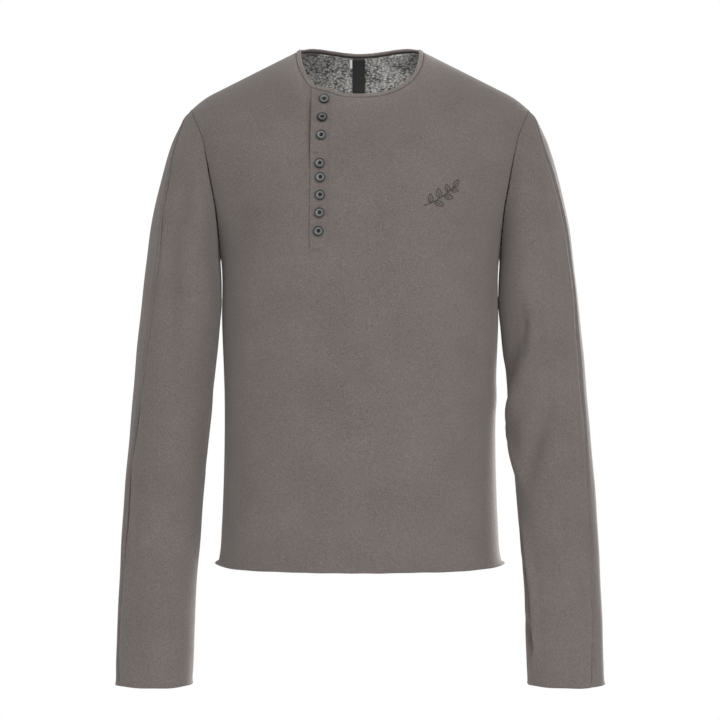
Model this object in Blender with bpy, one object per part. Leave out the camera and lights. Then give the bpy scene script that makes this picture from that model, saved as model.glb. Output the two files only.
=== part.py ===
"""Long-sleeved henley shirt, filled out as when worn, but empty.

Every cut piece is a closed solid of its own: front, back, two panels for each sleeve, neck
binding, button placket, eight buttons, neck label and size tab.

Metres. +X is the wearer's left, -Y the front and +Z up. The origin lies midway between the two
points where the shoulder seams reach the neck binding.
"""

import math
from typing import NamedTuple

import bmesh
import bpy
import numpy as np
from mathutils import Vector
from mathutils.bvhtree import BVHTree

WALL = 0.0016  # thickness of the jersey
SEAM = 0.0003  # gap between two pieces that are sewn together
FRONT, BACK = -1, 1

# Neck and shoulders
NECK_X, NECK_TOP_X = 0.0825, 0.0757  # half-widths at the binding's seam and at its free edge
NECK_FRONT_Z, NECK_BACK_Y = -0.0735, 0.0520
NECK_POWER = 2.35  # 2 is an ellipse, more is squarer
NECK_BACK_POWER = 1.5  # 1 is half an ellipse seen from above, more is narrower at the shoulders
SHOULDER_SLOPE = 0.5
ROUND_X, ROUND_DROP = 0.190, 0.0065  # where the shoulder starts to round off, and how far it drops
CROWN = {FRONT: -0.010, BACK: 0.0253}  # height of the surface that the neck opening is cut from
CROWN_POWER = 2
ROUND_Z = -0.200  # chest level, where the rounding towards the shoulders starts
ROUND_POWER = {FRONT: 1.8, BACK: 2.0}
SECTION_POWER = 2.3

# Placket, buttons and labels
PLACKET_TOP_X, PLACKET_FOOT_X = -0.0483, -0.0512
PLACKET_HALF, PLACKET_FOOT_Z = 0.0117, -0.2680
PLACKET_THICK, PLACKET_LIFT, PLACKET_ROWS, PLACKET_STRIPS = 0.0013, 0.0004, 24, 3
BUTTON_RADIUS, BUTTON_THICK = 0.00635, 0.0030
BUTTON_DISH, BUTTON_DISH_DEPTH = 0.0027, 0.0009
BUTTON_RIM, BUTTON_SEAT, BUTTON_STEPS = 0.0009, 0.0005, 18
LABEL_X, LABEL_WIDTH, LABEL_TOP_Z, LABEL_FOOT_Z = -0.0018, 0.0168, -0.0040, -0.0640
TAB_X, TAB_WIDTH, TAB_FOOT_Z = -0.0072, 0.0120, -0.0146
TAG_THICK, TAG_STEP, TAG_STRIPS = 0.0010, 0.0075, 3
OUTSIDE_Y = -0.3  # a plane well in front of the shirt

BINDING_WIDTH, BINDING_PROUD = 0.0069, 0.0005
BINDING_LIFT = PLACKET_THICK + 3 * SEAM  # where the binding passes over the placket
BINDING_CLEAR, BINDING_SETTLE = 0.002, 0.012  # past the placket, where it starts and ends coming down
BINDING_SHAPE = (
    # how far up the binding, as a share of its width, and how far out of the cloth
    (SEAM / BINDING_WIDTH, -WALL),
    (SEAM / BINDING_WIDTH, BINDING_PROUD / 2),
    (0.25, BINDING_PROUD),
    (0.80, BINDING_PROUD),
    (1.00, -0.2 * WALL),
    (1.00, -0.9 * WALL),
)

COLUMNS = 9  # strips in half a body panel
SHOULDER_ROWS, ARMHOLE_ROWS, SIDE_ROWS = 6, 8, 7
YOKE_ROWS = SHOULDER_ROWS + 3  # rows that fan out from the neck
SEAT_DIRECTION = Vector((0.98, 0.0, -0.20)).normalized()  # square to the armhole, away from the body


class Section(NamedTuple):
    """A level of the body: its height, half-width and depths to the front and back."""

    z: float
    side: float
    front: float
    back: float


class Point(NamedTuple):
    """A point of the armhole, seen from the front."""

    x: float
    z: float


class Spot(NamedTuple):
    """A button's place: how far it lies to the left of the placket's middle line, and its height."""

    aside: float
    z: float


class Ring(NamedTuple):
    """A ring of a sleeve: its outermost and innermost points, half its depth from front to back,
    and how many degrees the overarm seam lies in front of the outermost point on each arm."""

    outer_x: float
    outer_y: float
    outer_z: float
    inner_x: float
    inner_y: float
    inner_z: float
    half_depth: float
    right_seam: float
    left_seam: float


BODY = (
    Section(z=-0.668, side=0.1840, front=0.112, back=0.105),
    Section(z=-0.650, side=0.1810, front=0.111, back=0.105),
    Section(z=-0.620, side=0.1791, front=0.110, back=0.104),
    Section(z=-0.533, side=0.1760, front=0.108, back=0.103),
    Section(z=-0.454, side=0.1757, front=0.108, back=0.102),
    Section(z=-0.357, side=0.1790, front=0.111, back=0.104),
    Section(z=-0.268, side=0.1810, front=0.116, back=0.108),
    Section(z=-0.238, side=0.1870, front=0.117, back=0.109),
    Section(z=-0.209, side=0.1975, front=0.117, back=0.110),
    Section(z=-0.170, side=0.2125, front=0.117, back=0.111),
    Section(z=-0.120, side=0.2260, front=0.116, back=0.111),
    Section(z=-0.078, side=0.2350, front=0.115, back=0.110),
    Section(z=0.040, side=0.2420, front=0.112, back=0.108),
)
ARMHOLE = (
    Point(x=0.1810, z=-0.268),
    Point(x=0.1820, z=-0.238),
    Point(x=0.1840, z=-0.209),
    Point(x=0.1885, z=-0.182),
    Point(x=0.1955, z=-0.145),
    Point(x=0.2035, z=-0.113),
    Point(x=0.2117, z=-0.095),
    Point(x=0.2187, z=-0.078),
)
BUTTONS = (
    Spot(aside=0.0041, z=-0.0774),
    Spot(aside=0.0023, z=-0.1016),
    Spot(aside=0.0016, z=-0.1244),
    Spot(aside=0.0003, z=-0.1608),
    Spot(aside=0.0012, z=-0.1784),
    Spot(aside=0.0012, z=-0.1994),
    Spot(aside=0.0008, z=-0.2216),
    Spot(aside=-0.0003, z=-0.2440),
)
SLEEVE = (
    Ring(0.2187, 0.000, -0.0780, 0.1810, 0.000, -0.2680, 0.0580, 0, 0),
    Ring(0.2275, 0.000, -0.0884, 0.1822, -0.006, -0.2765, 0.0620, 13, 14),
    Ring(0.2335, 0.000, -0.0988, 0.1826, -0.009, -0.2820, 0.0645, 22, 23),
    Ring(0.2444, 0.000, -0.1235, 0.1828, -0.012, -0.2920, 0.0665, 33, 32),
    Ring(0.2556, -0.001, -0.1625, 0.1824, -0.014, -0.3040, 0.0665, 41, 29),
    Ring(0.2649, -0.003, -0.2015, 0.1818, -0.015, -0.3180, 0.0650, 45, 27),
    Ring(0.2732, -0.005, -0.2480, 0.1815, -0.016, -0.3360, 0.0625, 51, 26),
    Ring(0.2806, -0.008, -0.3140, 0.1820, -0.016, -0.3720, 0.0590, 51, 24),
    Ring(0.2884, -0.012, -0.3945, 0.1868, -0.017, -0.4200, 0.0550, 47, 32),
    Ring(0.2959, -0.016, -0.4850, 0.1934, -0.019, -0.4950, 0.0510, 39, 37),
    Ring(0.3019, -0.021, -0.5620, 0.2003, -0.022, -0.5650, 0.0470, 30, 42),
    Ring(0.3063, -0.026, -0.6320, 0.2050, -0.026, -0.6320, 0.0440, 28, 45),
    Ring(0.3093, -0.031, -0.7050, 0.2102, -0.031, -0.7050, 0.0410, 26, 46),
    Ring(0.3110, -0.035, -0.7700, 0.2122, -0.035, -0.7700, 0.0395, 20, 48),
    Ring(0.3120, -0.038, -0.8170, 0.2147, -0.038, -0.8170, 0.0390, 29, 53),
)
CAP_REACH = 0.090  # how far down the sleeve the armhole's shape fades into the plain rings

JERSEY = (0.175, 0.152, 0.143)
HORN = (0.030, 0.031, 0.032)
LABEL_BLACK = (0.008, 0.008, 0.009)
TAB_WHITE = (0.80, 0.80, 0.79)


def clear_scene() -> None:
    """Remove every object that the file already holds."""
    for thing in list(bpy.data.objects):
        bpy.data.objects.remove(thing, do_unlink=True)


def make_material(name: str, colour: tuple, roughness: float) -> bpy.types.Material:
    """A plain finish of one colour and roughness, with no metal in it."""
    material = bpy.data.materials.new(name)
    material.use_nodes = True
    shader = material.node_tree.nodes["Principled BSDF"]
    shader.inputs["Base Color"].default_value = (*colour, 1.0)
    shader.inputs["Roughness"].default_value = roughness
    shader.inputs["Metallic"].default_value = 0.0
    return material


def curve_through(keys: list, values: list, at: float) -> float:
    """The value at a place on the smooth curve through the given values, whose keys rise."""
    slopes = np.gradient(np.array(values, float), np.array(keys, float))
    i = int(np.clip(np.searchsorted(keys, at) - 1, 0, len(keys) - 2))
    step = keys[i + 1] - keys[i]
    s = float(np.clip((at - keys[i]) / step, 0.0, 1.0))
    start, end = values[i], values[i + 1]
    ease = s * s * (3 - 2 * s)
    leave = s * (1 - s) ** 2 * step * slopes[i]
    arrive = s * s * (s - 1) * step * slopes[i + 1]
    return start + (end - start) * ease + leave + arrive


def body_size(z: float, column: str) -> float:
    """One size of the body, from its table, at height z."""
    return curve_through([s.z for s in BODY], [getattr(s, column) for s in BODY], z)


def armhole_x(z: float) -> float:
    """How far from the middle the armhole lies at height z."""
    return curve_through([p.z for p in ARMHOLE], [p.x for p in ARMHOLE], z)


def ridge_z(x: float, face: int) -> float:
    """Height of the shoulder line, carried on across the neck as the crown."""
    out = abs(x)
    if out < NECK_TOP_X:
        return CROWN[face] * (1 - (out / NECK_TOP_X) ** CROWN_POWER)
    past = max(0.0, out - ROUND_X) / (ARMHOLE[-1].x - ROUND_X)
    return -SHOULDER_SLOPE * (out - NECK_TOP_X) - ROUND_DROP * past**2


def body_y(x: float, z: float, face: int) -> float:
    """Where the outside of the front or back lies, at a place seen from the front."""
    half = body_size(z, "side")
    deep = body_size(z, "front" if face == FRONT else "back")
    across = max(0.0, 1 - (abs(x) / half) ** SECTION_POWER) ** (1 / SECTION_POWER)
    rise = (z - ROUND_Z) / (ridge_z(x, face) - ROUND_Z)
    rise = min(max(rise, 0.0), 1.0)
    power = ROUND_POWER[face]
    return face * max(deep * across * (1 - rise**power) ** (1 / power), SEAM / 2)


def neckline(number: int, face: int) -> np.ndarray:
    """A point (x, z) of the neck seam: number 0 is in the middle, the last is at the shoulder."""
    share = number / COLUMNS
    if face == FRONT:
        turn = math.pi / 2 * math.sin(math.pi / 2 * share)
        shoulder_z = ridge_z(NECK_X, face)
        drop = (shoulder_z - NECK_FRONT_Z) * max(math.cos(turn), 0.0) ** (2 / NECK_POWER)
        return np.array((NECK_X * math.sin(turn) ** (2 / NECK_POWER), shoulder_z - drop))
    x = NECK_X * math.sin(math.pi / 2 * share)
    y = NECK_BACK_Y * max(math.cos(math.pi / 2 * share), 0.0) ** NECK_BACK_POWER
    deep = body_size(0.0, "back")
    across = (1 - (x / body_size(0.0, "side")) ** SECTION_POWER) ** (1 / SECTION_POWER)
    rise = (1 - (y / (deep * across)) ** ROUND_POWER[BACK]) ** (1 / ROUND_POWER[BACK])
    return np.array((x, ROUND_Z + rise * (ridge_z(x, BACK) - ROUND_Z)))


def armhole_z(turn: float) -> float:
    """Height of the armhole's point at an angle round the sleeve, 0 at the shoulder."""
    top, foot = ARMHOLE[-1].z, ARMHOLE[0].z
    return (top + foot) / 2 + (top - foot) / 2 * math.cos(turn)


def edge_points() -> list:
    """The panel's edge, seen from the front: along the shoulder, armhole and side seam."""
    points = []
    for i in range(SHOULDER_ROWS + 1):
        x = NECK_X + (ARMHOLE[-1].x - NECK_X) * i / SHOULDER_ROWS
        points.append(np.array((x, ridge_z(x, FRONT))))
    for i in range(1, ARMHOLE_ROWS + 1):
        z = armhole_z(math.pi * i / ARMHOLE_ROWS)
        points.append(np.array((armhole_x(z), z)))
    foot = BODY[0].z
    for i in range(1, SIDE_ROWS + 1):
        z = ARMHOLE[0].z + (foot - ARMHOLE[0].z) * i / SIDE_ROWS
        points.append(np.array((body_size(z, "side"), z)))
    return points


def half_panel(face: int) -> list:
    """Rows of points (x, z) of half a panel, from the middle out to its edge."""
    edge = edge_points()
    shares = [math.sin(math.pi / 2 * i / COLUMNS) for i in range(COLUMNS + 1)]
    top = [neckline(i, face) for i in range(COLUMNS + 1)]
    foot_z = edge[YOKE_ROWS][1]
    rows = []
    for r, (edge_x, edge_z) in enumerate(edge):
        if r > YOKE_ROWS:
            rows.append([np.array((edge_x * c, edge_z)) for c in shares])
            continue
        v = r / YOKE_ROWS
        middle = np.array((0.0, top[0][1] + (foot_z - top[0][1]) * v))
        row = []
        for c, neck in zip(shares, top):
            straight = (1 - c) * top[0] + c * top[-1]
            sides = (1 - c) * middle + c * np.array((edge_x, edge_z))
            row.append((1 - v) * (neck - straight) + sides)
        rows.append(row)
    return rows


def body_panel(face: int) -> np.ndarray:
    """The outside of the front or back, as rows of points from the right edge to the left."""
    grid = []
    for row in half_panel(face):
        half = [(x, body_y(x, z, face), z) for x, z in row]
        grid.append([(-x, y, z) for x, y, z in half[:0:-1]] + half)
    return np.array(grid)


def unit(vectors: np.ndarray) -> np.ndarray:
    """The same directions, each one long."""
    return vectors / np.linalg.norm(vectors, axis=-1, keepdims=True)


def grid_normals(grid: np.ndarray, towards: np.ndarray) -> np.ndarray:
    """Directions square to a grid of points, on the side that looks away from a place."""
    down = np.gradient(grid, axis=0)
    along = np.gradient(grid, axis=1)
    normals = unit(np.cross(down, along))
    outward = np.sign(np.sum(normals * (grid - towards), axis=-1, keepdims=True))
    return normals * np.where(outward == 0, 1, outward)


def behind_seam(point: np.ndarray, seam: np.ndarray, way: np.ndarray, least: float) -> np.ndarray:
    """A point moved along a direction until it lies at least so far past a seam."""
    reach = float(np.dot(point - seam, way))
    return point + way * max(0.0, least - reach)


def body_inside(outer: np.ndarray, face: int) -> np.ndarray:
    """The inside of a body panel, one wall in from its outside."""
    axis = np.array([[(0.0, 0.0, min(z, -0.10)) for z in row] for row in outer[:, :, 2]])
    normals = grid_normals(outer, axis)
    on_armhole = range(SHOULDER_ROWS + 1, SHOULDER_ROWS + ARMHOLE_ROWS)
    for r in range(len(outer)):
        for c in (0, -1):
            if r not in on_armhole:
                normals[r, c, 1] = 0.0
    normals = unit(normals)
    inner = outer - WALL * normals
    for r in range(SHOULDER_ROWS, SHOULDER_ROWS + ARMHOLE_ROWS + 1):
        for c, side in ((0, -1), (-1, 1)):
            way = -np.array(SEAT_DIRECTION) * (side, 1, 1)
            inner[r, c] = behind_seam(inner[r, c], outer[r, c], way, 0.0)
    inner[:, :, 1] = face * np.maximum(face * inner[:, :, 1], SEAM / 2)
    return inner


def armhole_point(turn: float) -> np.ndarray:
    """A point of the left armhole, at an angle from the shoulder round by the front."""
    face = FRONT if turn <= math.pi else BACK
    z = armhole_z(turn)
    x = armhole_x(z)
    return np.array((x, body_y(x, z, face), z))


def ring_point(ring: Ring, turn: float) -> np.ndarray:
    """A point of a plain sleeve ring, at an angle from its outermost point round by the front."""
    outer = np.array((ring.outer_x, ring.outer_y, ring.outer_z))
    inner = np.array((ring.inner_x, ring.inner_y, ring.inner_z))
    depth = np.array((0.0, -ring.half_depth * math.sin(turn), 0.0))
    return (outer + inner) / 2 + (outer - inner) / 2 * math.cos(turn) + depth


def sleeve_rings(side: int) -> np.ndarray:
    """The outside of a whole sleeve, as rings of points that start at the overarm seam."""
    tip = np.array((SLEEVE[0].outer_x, SLEEVE[0].outer_z))
    rings = []
    for ring in SLEEVE:
        lead = math.radians(ring.left_seam if side > 0 else ring.right_seam)
        away = math.hypot(ring.outer_x - tip[0], ring.outer_z - tip[1])
        hold = max(0.0, 1 - away / CAP_REACH) ** 2
        under = [lead + (math.pi - lead) * j / ARMHOLE_ROWS for j in range(ARMHOLE_ROWS)]
        over = [math.pi + (math.pi + lead) * j / ARMHOLE_ROWS for j in range(ARMHOLE_ROWS)]
        points = []
        for turn in under + over:
            plain = ring_point(ring, turn)
            whole_turn = turn % (2 * math.pi)
            bend = armhole_point(whole_turn) - ring_point(SLEEVE[0], whole_turn)
            points.append(plain + hold * bend)
        rings.append(points)
    return np.array(rings)


def ring_normals(rings: np.ndarray) -> np.ndarray:
    """Directions square to a sleeve, looking out of it."""
    down = np.gradient(rings, axis=0)
    along = np.roll(rings, -1, axis=1) - np.roll(rings, 1, axis=1)
    normals = unit(np.cross(down, along))
    centre = rings.mean(axis=1, keepdims=True)
    facing = np.sign(np.sum(normals[-1] * (rings[-1] - centre[-1]), axis=-1).mean())
    return normals * facing


def sleeve_panels(side: int) -> dict:
    """The outside and inside grids of a sleeve's front and back panel."""
    outer = sleeve_rings(side)
    normals = ring_normals(outer)
    way = np.array(SEAT_DIRECTION)
    seam = outer[0].copy()
    outer[0] += SEAM * way
    inner = outer - WALL * normals
    for r in (0, 1):
        for j in range(outer.shape[1]):
            inner[r, j] = behind_seam(inner[r, j], seam[j], way, SEAM)
    along = unit(np.roll(outer, -1, axis=1) - np.roll(outer, 1, axis=1))
    panels = {}
    for name, first in (("front", 0), ("back", ARMHOLE_ROWS)):
        picked = [(first + j) % outer.shape[1] for j in range(ARMHOLE_ROWS + 1)]
        grids = []
        for grid in (outer, inner):
            panel = grid[:, picked].copy()
            panel[:, 0] += SEAM / 2 * along[:, picked[0]]
            panel[:, -1] -= SEAM / 2 * along[:, picked[-1]]
            panel[:, :, 0] *= side
            grids.append(panel)
        panels[name] = grids
    return panels


def add_object(name: str, mesh: bpy.types.Mesh, material: bpy.types.Material) -> bpy.types.Object:
    """A named object of a mesh, with its finish, linked to the scene."""
    mesh.materials.append(material)
    mesh.shade_smooth()
    mesh.set_sharp_from_angle(angle=math.radians(40))
    thing = bpy.data.objects.new(name, mesh)
    bpy.context.scene.collection.objects.link(thing)
    return thing


def wall_between(name: str, outer: np.ndarray, inner: np.ndarray) -> bpy.types.Mesh:
    """A closed wall between two grids of points, with a rim on all four sides."""
    rows, columns = outer.shape[:2]
    model = bmesh.new()
    layers = [[[model.verts.new(p) for p in row] for row in grid] for grid in (outer, inner)]
    for layer in layers:
        for r in range(rows - 1):
            for c in range(columns - 1):
                model.faces.new((layer[r][c], layer[r][c + 1], layer[r + 1][c + 1], layer[r + 1][c]))
    loop = [(0, c) for c in range(columns - 1)] + [(r, columns - 1) for r in range(rows - 1)]
    loop += [(rows - 1, c) for c in range(columns - 1, 0, -1)] + [(r, 0) for r in range(rows - 1, 0, -1)]
    for (r, c), (next_r, next_c) in zip(loop, loop[1:] + loop[:1]):
        face = (layers[0][r][c], layers[1][r][c], layers[1][next_r][next_c], layers[0][next_r][next_c])
        model.faces.new(face)
    bmesh.ops.recalc_face_normals(model, faces=model.faces)
    mesh = bpy.data.meshes.new(name)
    model.to_mesh(mesh)
    model.free()
    return mesh


def tube_of_sections(name: str, sections: np.ndarray) -> bpy.types.Mesh:
    """A closed solid through equal sections, with a flat cap at each end."""
    model = bmesh.new()
    rings = [[model.verts.new(p) for p in section] for section in sections]
    size = len(rings[0])
    for ring, following in zip(rings, rings[1:]):
        for i in range(size):
            j = (i + 1) % size
            model.faces.new((ring[i], ring[j], following[j], following[i]))
    model.faces.new(rings[0])
    model.faces.new(rings[-1])
    bmesh.ops.recalc_face_normals(model, faces=model.faces)
    mesh = bpy.data.meshes.new(name)
    model.to_mesh(mesh)
    model.free()
    return mesh


def surface_of(thing: bpy.types.Object) -> BVHTree:
    """A tree of an object's faces, to find places on them."""
    bpy.context.view_layer.update()
    return BVHTree.FromObject(thing, bpy.context.evaluated_depsgraph_get())


def strip_on(tree: BVHTree, places: list, start_y: float, lift: float, thick: float) -> list:
    """Two grids over a surface, the first lifted off it and the second a thickness more.

    The places are rows of (x, z), found on the surface by looking back from the plane at start_y.
    """
    back = Vector((0.0, 1.0, 0.0))
    seat = [[tree.ray_cast(Vector((x, start_y, z)), back)[0] for x, z in row] for row in places]
    seat = np.array([[tuple(point) for point in row] for row in seat])
    normals = unit(np.cross(np.gradient(seat, axis=0), np.gradient(seat, axis=1)))
    normals *= -np.sign(normals[:, :, 1:2])
    return [seat + lift * normals, seat + (lift + thick) * normals]


def placket_x(z: float) -> float:
    """The placket's middle line, which leans a little outwards towards its foot."""
    share = z / PLACKET_FOOT_Z
    return PLACKET_TOP_X + (PLACKET_FOOT_X - PLACKET_TOP_X) * share


def placket_places(neck: np.ndarray) -> list:
    """Rows of places (x, z) over the placket, from the neck seam down to its foot."""
    order = np.argsort(neck[:, 0])
    asides = np.linspace(-PLACKET_HALF, PLACKET_HALF, PLACKET_STRIPS + 1)
    top_x = placket_x(NECK_FRONT_Z) + asides
    tops = np.interp(top_x, neck[order, 0], neck[order, 2]) - SEAM
    places = []
    for r in range(PLACKET_ROWS + 1):
        heights = tops + (PLACKET_FOOT_Z - tops) * r / PLACKET_ROWS
        places.append([(placket_x(z) + aside, z) for aside, z in zip(asides, heights)])
    return places


def binding_sections(front: np.ndarray, back: np.ndarray) -> np.ndarray:
    """Sections of the neck binding, from the placket's free edge right round the neck to it."""
    loop = np.concatenate((front[0], back[0][-2:0:-1]))
    below = np.concatenate((front[1], back[1][-2:0:-1]))
    start_x = placket_x(NECK_FRONT_Z) - PLACKET_HALF
    along = unit(np.roll(loop, -1, axis=0) - np.roll(loop, 1, axis=0))
    down = below - loop
    down -= np.sum(down * along, axis=-1, keepdims=True) * along
    inward = -unit(down)
    outward = unit(np.cross(along, inward))
    outward *= np.sign(np.sum(outward * (loop - (0.0, 0.0, -0.10)), axis=-1))[:, None]
    cut = next(i for i in range(len(loop)) if loop[i, 0] > start_x)
    share = (start_x - loop[cut - 1, 0]) / (loop[cut, 0] - loop[cut - 1, 0])

    def between(values: np.ndarray) -> np.ndarray:
        return values[cut - 1] + (values[cut] - values[cut - 1]) * share

    first = (between(loop), between(inward), between(outward))
    middle = [(loop[i], inward[i], outward[i]) for i in [*range(cut, len(loop)), *range(cut)]]
    gap = SEAM * unit(loop[cut] - loop[cut - 1])
    last = (first[0] - 2 * gap, first[1], first[2])
    lifted = placket_x(NECK_FRONT_Z) + PLACKET_HALF + BINDING_CLEAR
    settled = lifted + BINDING_SETTLE
    sections = []
    for number, (point, in_way, out_way) in enumerate([first, *middle, last]):
        on_top = number < COLUMNS and point[0] < settled
        ease = min(max((settled - point[0]) / (settled - lifted), 0.0), 1.0)
        raised = BINDING_LIFT * ease if on_top else 0.0
        sections.append(
            [point + w * BINDING_WIDTH * in_way + (h + raised) * out_way for w, h in BINDING_SHAPE]
        )
    return np.array(sections)


def button_mesh() -> bpy.types.Mesh:
    """A round button with a rounded rim, a dished middle and a flat back, turned about Z."""
    rim = BUTTON_RIM
    profile = (
        (0.0, 0.0),
        (BUTTON_RADIUS - rim, 0.0),
        (BUTTON_RADIUS, rim),
        (BUTTON_RADIUS, BUTTON_THICK - rim),
        (BUTTON_RADIUS - rim, BUTTON_THICK),
        (BUTTON_DISH, BUTTON_THICK - 0.0003),
        (0.8 * BUTTON_DISH, BUTTON_THICK - BUTTON_DISH_DEPTH),
        (0.0, BUTTON_THICK - BUTTON_DISH_DEPTH),
    )
    model = bmesh.new()
    points = [model.verts.new((radius, 0.0, height)) for radius, height in profile]
    edges = [model.edges.new(pair) for pair in zip(points, points[1:])]
    bmesh.ops.spin(
        model,
        geom=points + edges,
        axis=(0.0, 0.0, 1.0),
        cent=(0.0, 0.0, 0.0),
        steps=BUTTON_STEPS,
        angle=math.tau,
        use_duplicate=False,
    )
    bmesh.ops.remove_doubles(model, verts=model.verts, dist=1e-6)
    bmesh.ops.recalc_face_normals(model, faces=model.faces)
    mesh = bpy.data.meshes.new("button")
    model.to_mesh(mesh)
    model.free()
    return mesh


def build() -> None:
    """Build every piece of the shirt."""
    clear_scene()
    jersey = make_material("jersey", JERSEY, 0.92)
    horn = make_material("button", HORN, 0.35)
    black = make_material("label", LABEL_BLACK, 0.8)
    white = make_material("size_tab", TAB_WHITE, 0.8)

    outsides = {face: body_panel(face) for face in (FRONT, BACK)}
    bodies = {}
    for face, name in ((FRONT, "front"), (BACK, "back")):
        inside = body_inside(outsides[face], face)
        bodies[face] = add_object(name, wall_between(name, outsides[face], inside), jersey)
    for side, arm in ((-1, "right"), (1, "left")):
        for part, (outer, inner) in sleeve_panels(side).items():
            name = f"sleeve_{arm}_{part}"
            add_object(name, wall_between(name, outer, inner), jersey)
    sections = binding_sections(outsides[FRONT], outsides[BACK])
    add_object("neckband", tube_of_sections("neckband", sections), jersey)

    chest = surface_of(bodies[FRONT])
    places = placket_places(outsides[FRONT][0])
    near, far = strip_on(chest, places, OUTSIDE_Y, PLACKET_LIFT, PLACKET_THICK)
    placket = add_object("placket", wall_between("placket", near, far), jersey)

    face_of_placket = surface_of(placket)
    for number, spot in enumerate(BUTTONS, start=1):
        start = Vector((placket_x(spot.z) + spot.aside, OUTSIDE_Y, spot.z))
        place, normal, _, _ = face_of_placket.ray_cast(start, Vector((0.0, 1.0, 0.0)))
        button = add_object(f"button_{number}", button_mesh(), horn)
        button.location = place + normal * BUTTON_SEAT
        button.rotation_euler = normal.to_track_quat("Z", "Y").to_euler()

    nape = surface_of(bodies[BACK])
    for name, x, width, foot, lift, material in (
        ("size_tab", TAB_X, TAB_WIDTH, TAB_FOOT_Z, SEAM, white),
        ("neck_label", LABEL_X, LABEL_WIDTH, LABEL_FOOT_Z, 3 * SEAM + TAG_THICK, black),
    ):
        rows = max(2, round((LABEL_TOP_Z - foot) / TAG_STEP))
        heights = [LABEL_TOP_Z + (foot - LABEL_TOP_Z) * r / rows for r in range(rows + 1)]
        across = np.linspace(x - width / 2, x + width / 2, TAG_STRIPS + 1)
        places = [[(place_x, z) for place_x in across] for z in heights]
        near, far = strip_on(nape, places, 0.0, lift, TAG_THICK)
        add_object(name, wall_between(name, near, far), material)


build()
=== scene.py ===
"""Looks of a long-sleeved henley shirt in warm grey jersey, filled out as when worn, but empty.

The cloth is built as thin two-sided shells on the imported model's form: smooth jersey outside and
looped terry inside, with the sleeves' creases, rolled raw edges, stitched placket, turned buttons,
bare neck label and a small outline-stitched leaf sprig on the chest.

Metres; +X is the wearer's left, -Y the front and +Z up.
"""

import logging
import math
from dataclasses import dataclass
from enum import Enum

import bmesh
import bpy
import numpy as np
from mathutils import Matrix, Vector
from mathutils.bvhtree import BVHTree


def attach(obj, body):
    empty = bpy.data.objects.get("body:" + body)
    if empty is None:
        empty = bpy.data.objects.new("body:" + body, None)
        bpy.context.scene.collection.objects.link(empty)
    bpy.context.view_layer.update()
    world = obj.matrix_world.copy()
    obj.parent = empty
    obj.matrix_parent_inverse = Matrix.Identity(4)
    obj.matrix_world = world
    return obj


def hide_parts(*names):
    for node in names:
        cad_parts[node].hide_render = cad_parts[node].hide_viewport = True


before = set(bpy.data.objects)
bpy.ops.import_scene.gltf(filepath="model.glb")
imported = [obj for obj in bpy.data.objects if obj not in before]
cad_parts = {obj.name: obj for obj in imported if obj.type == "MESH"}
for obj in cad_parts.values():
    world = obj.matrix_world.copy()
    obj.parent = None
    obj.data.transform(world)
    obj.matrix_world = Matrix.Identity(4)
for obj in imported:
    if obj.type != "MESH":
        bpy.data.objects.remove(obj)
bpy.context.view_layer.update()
LOG = logging.getLogger("henley")

WALL = 0.0015  # thickness of the jersey
SEAM = 0.0003  # gap between sewn pieces
ARMHOLE_WAY = (0.98, 0.0, -0.20)  # square to the armhole, away from the body
Colour = tuple[float, float, float]


class Face(Enum):
    """Which of the two body panels is meant; the value is the sign of its Y."""

    FRONT = -1
    BACK = 1


class Arm(Enum):
    """Which of the wearer's arms is meant; the value is the sign of its X."""

    RIGHT = -1
    LEFT = 1


# ---------------------------------------------------------------- shaders


class Shader:
    """A material's node tree, with short calls to add nodes and join them."""

    def __init__(self, tree: bpy.types.NodeTree) -> None:
        """Start on a node tree.

        Args:
            tree: the tree of a material, a world or a node group.
        """
        self.tree = tree

    def node(self, kind: str, **inputs: object) -> bpy.types.Node:
        """Add a node and fill or join its inputs.

        Args:
            kind: the node's type, without the ShaderNode in front.
            inputs: values or sockets, by the input's name with _ for a blank, or by _ and a number.

        Returns:
            The new node.
        """
        made = self.tree.nodes.new(f"ShaderNode{kind}")
        for name, value in inputs.items():
            key = int(name[1:]) if name[0] == "_" else name.replace("_", " ")
            if isinstance(value, bpy.types.NodeSocket):
                self.tree.links.new(value, made.inputs[key])
            else:
                made.inputs[key].default_value = value
        return made

    def math(self, operation: str, *values: object) -> bpy.types.NodeSocket:
        """Add a Math node.

        Args:
            operation: the node's operation.
            values: its inputs in order, as numbers or sockets.

        Returns:
            The result's socket.
        """
        made = self.node("Math", **{f"_{i}": value for i, value in enumerate(values)})
        made.operation = operation
        return made.outputs[0]

    def mix(self, share: object, one: object, other: object) -> bpy.types.NodeSocket:
        """Add a Mix node for colours.

        Args:
            share: how much of the second colour there is, from 0 to 1.
            one: the first colour, as four numbers or a socket.
            other: the second colour.

        Returns:
            The mixed colour's socket.
        """
        made = self.tree.nodes.new("ShaderNodeMix")
        made.data_type = "RGBA"
        for key, value in ((0, share), (6, one), (7, other)):
            if isinstance(value, bpy.types.NodeSocket):
                self.tree.links.new(value, made.inputs[key])
            else:
                made.inputs[key].default_value = value
        return made.outputs[2]

    def ramp(self, value: bpy.types.NodeSocket, stops: list[tuple[float, Colour]]) -> bpy.types.NodeSocket:
        """Add a colour ramp.

        Args:
            value: the socket that picks a place on the ramp.
            stops: places from 0 to 1, with their colours.

        Returns:
            The colour's socket.
        """
        made = self.node("ValToRGB", Fac=value)
        elements = made.color_ramp.elements
        while len(elements) < len(stops):
            elements.new(0.5)
        for element, (place, colour) in zip(elements, stops):
            element.position = place
            element.color = (*colour, 1.0)
        return made.outputs[0]


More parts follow.
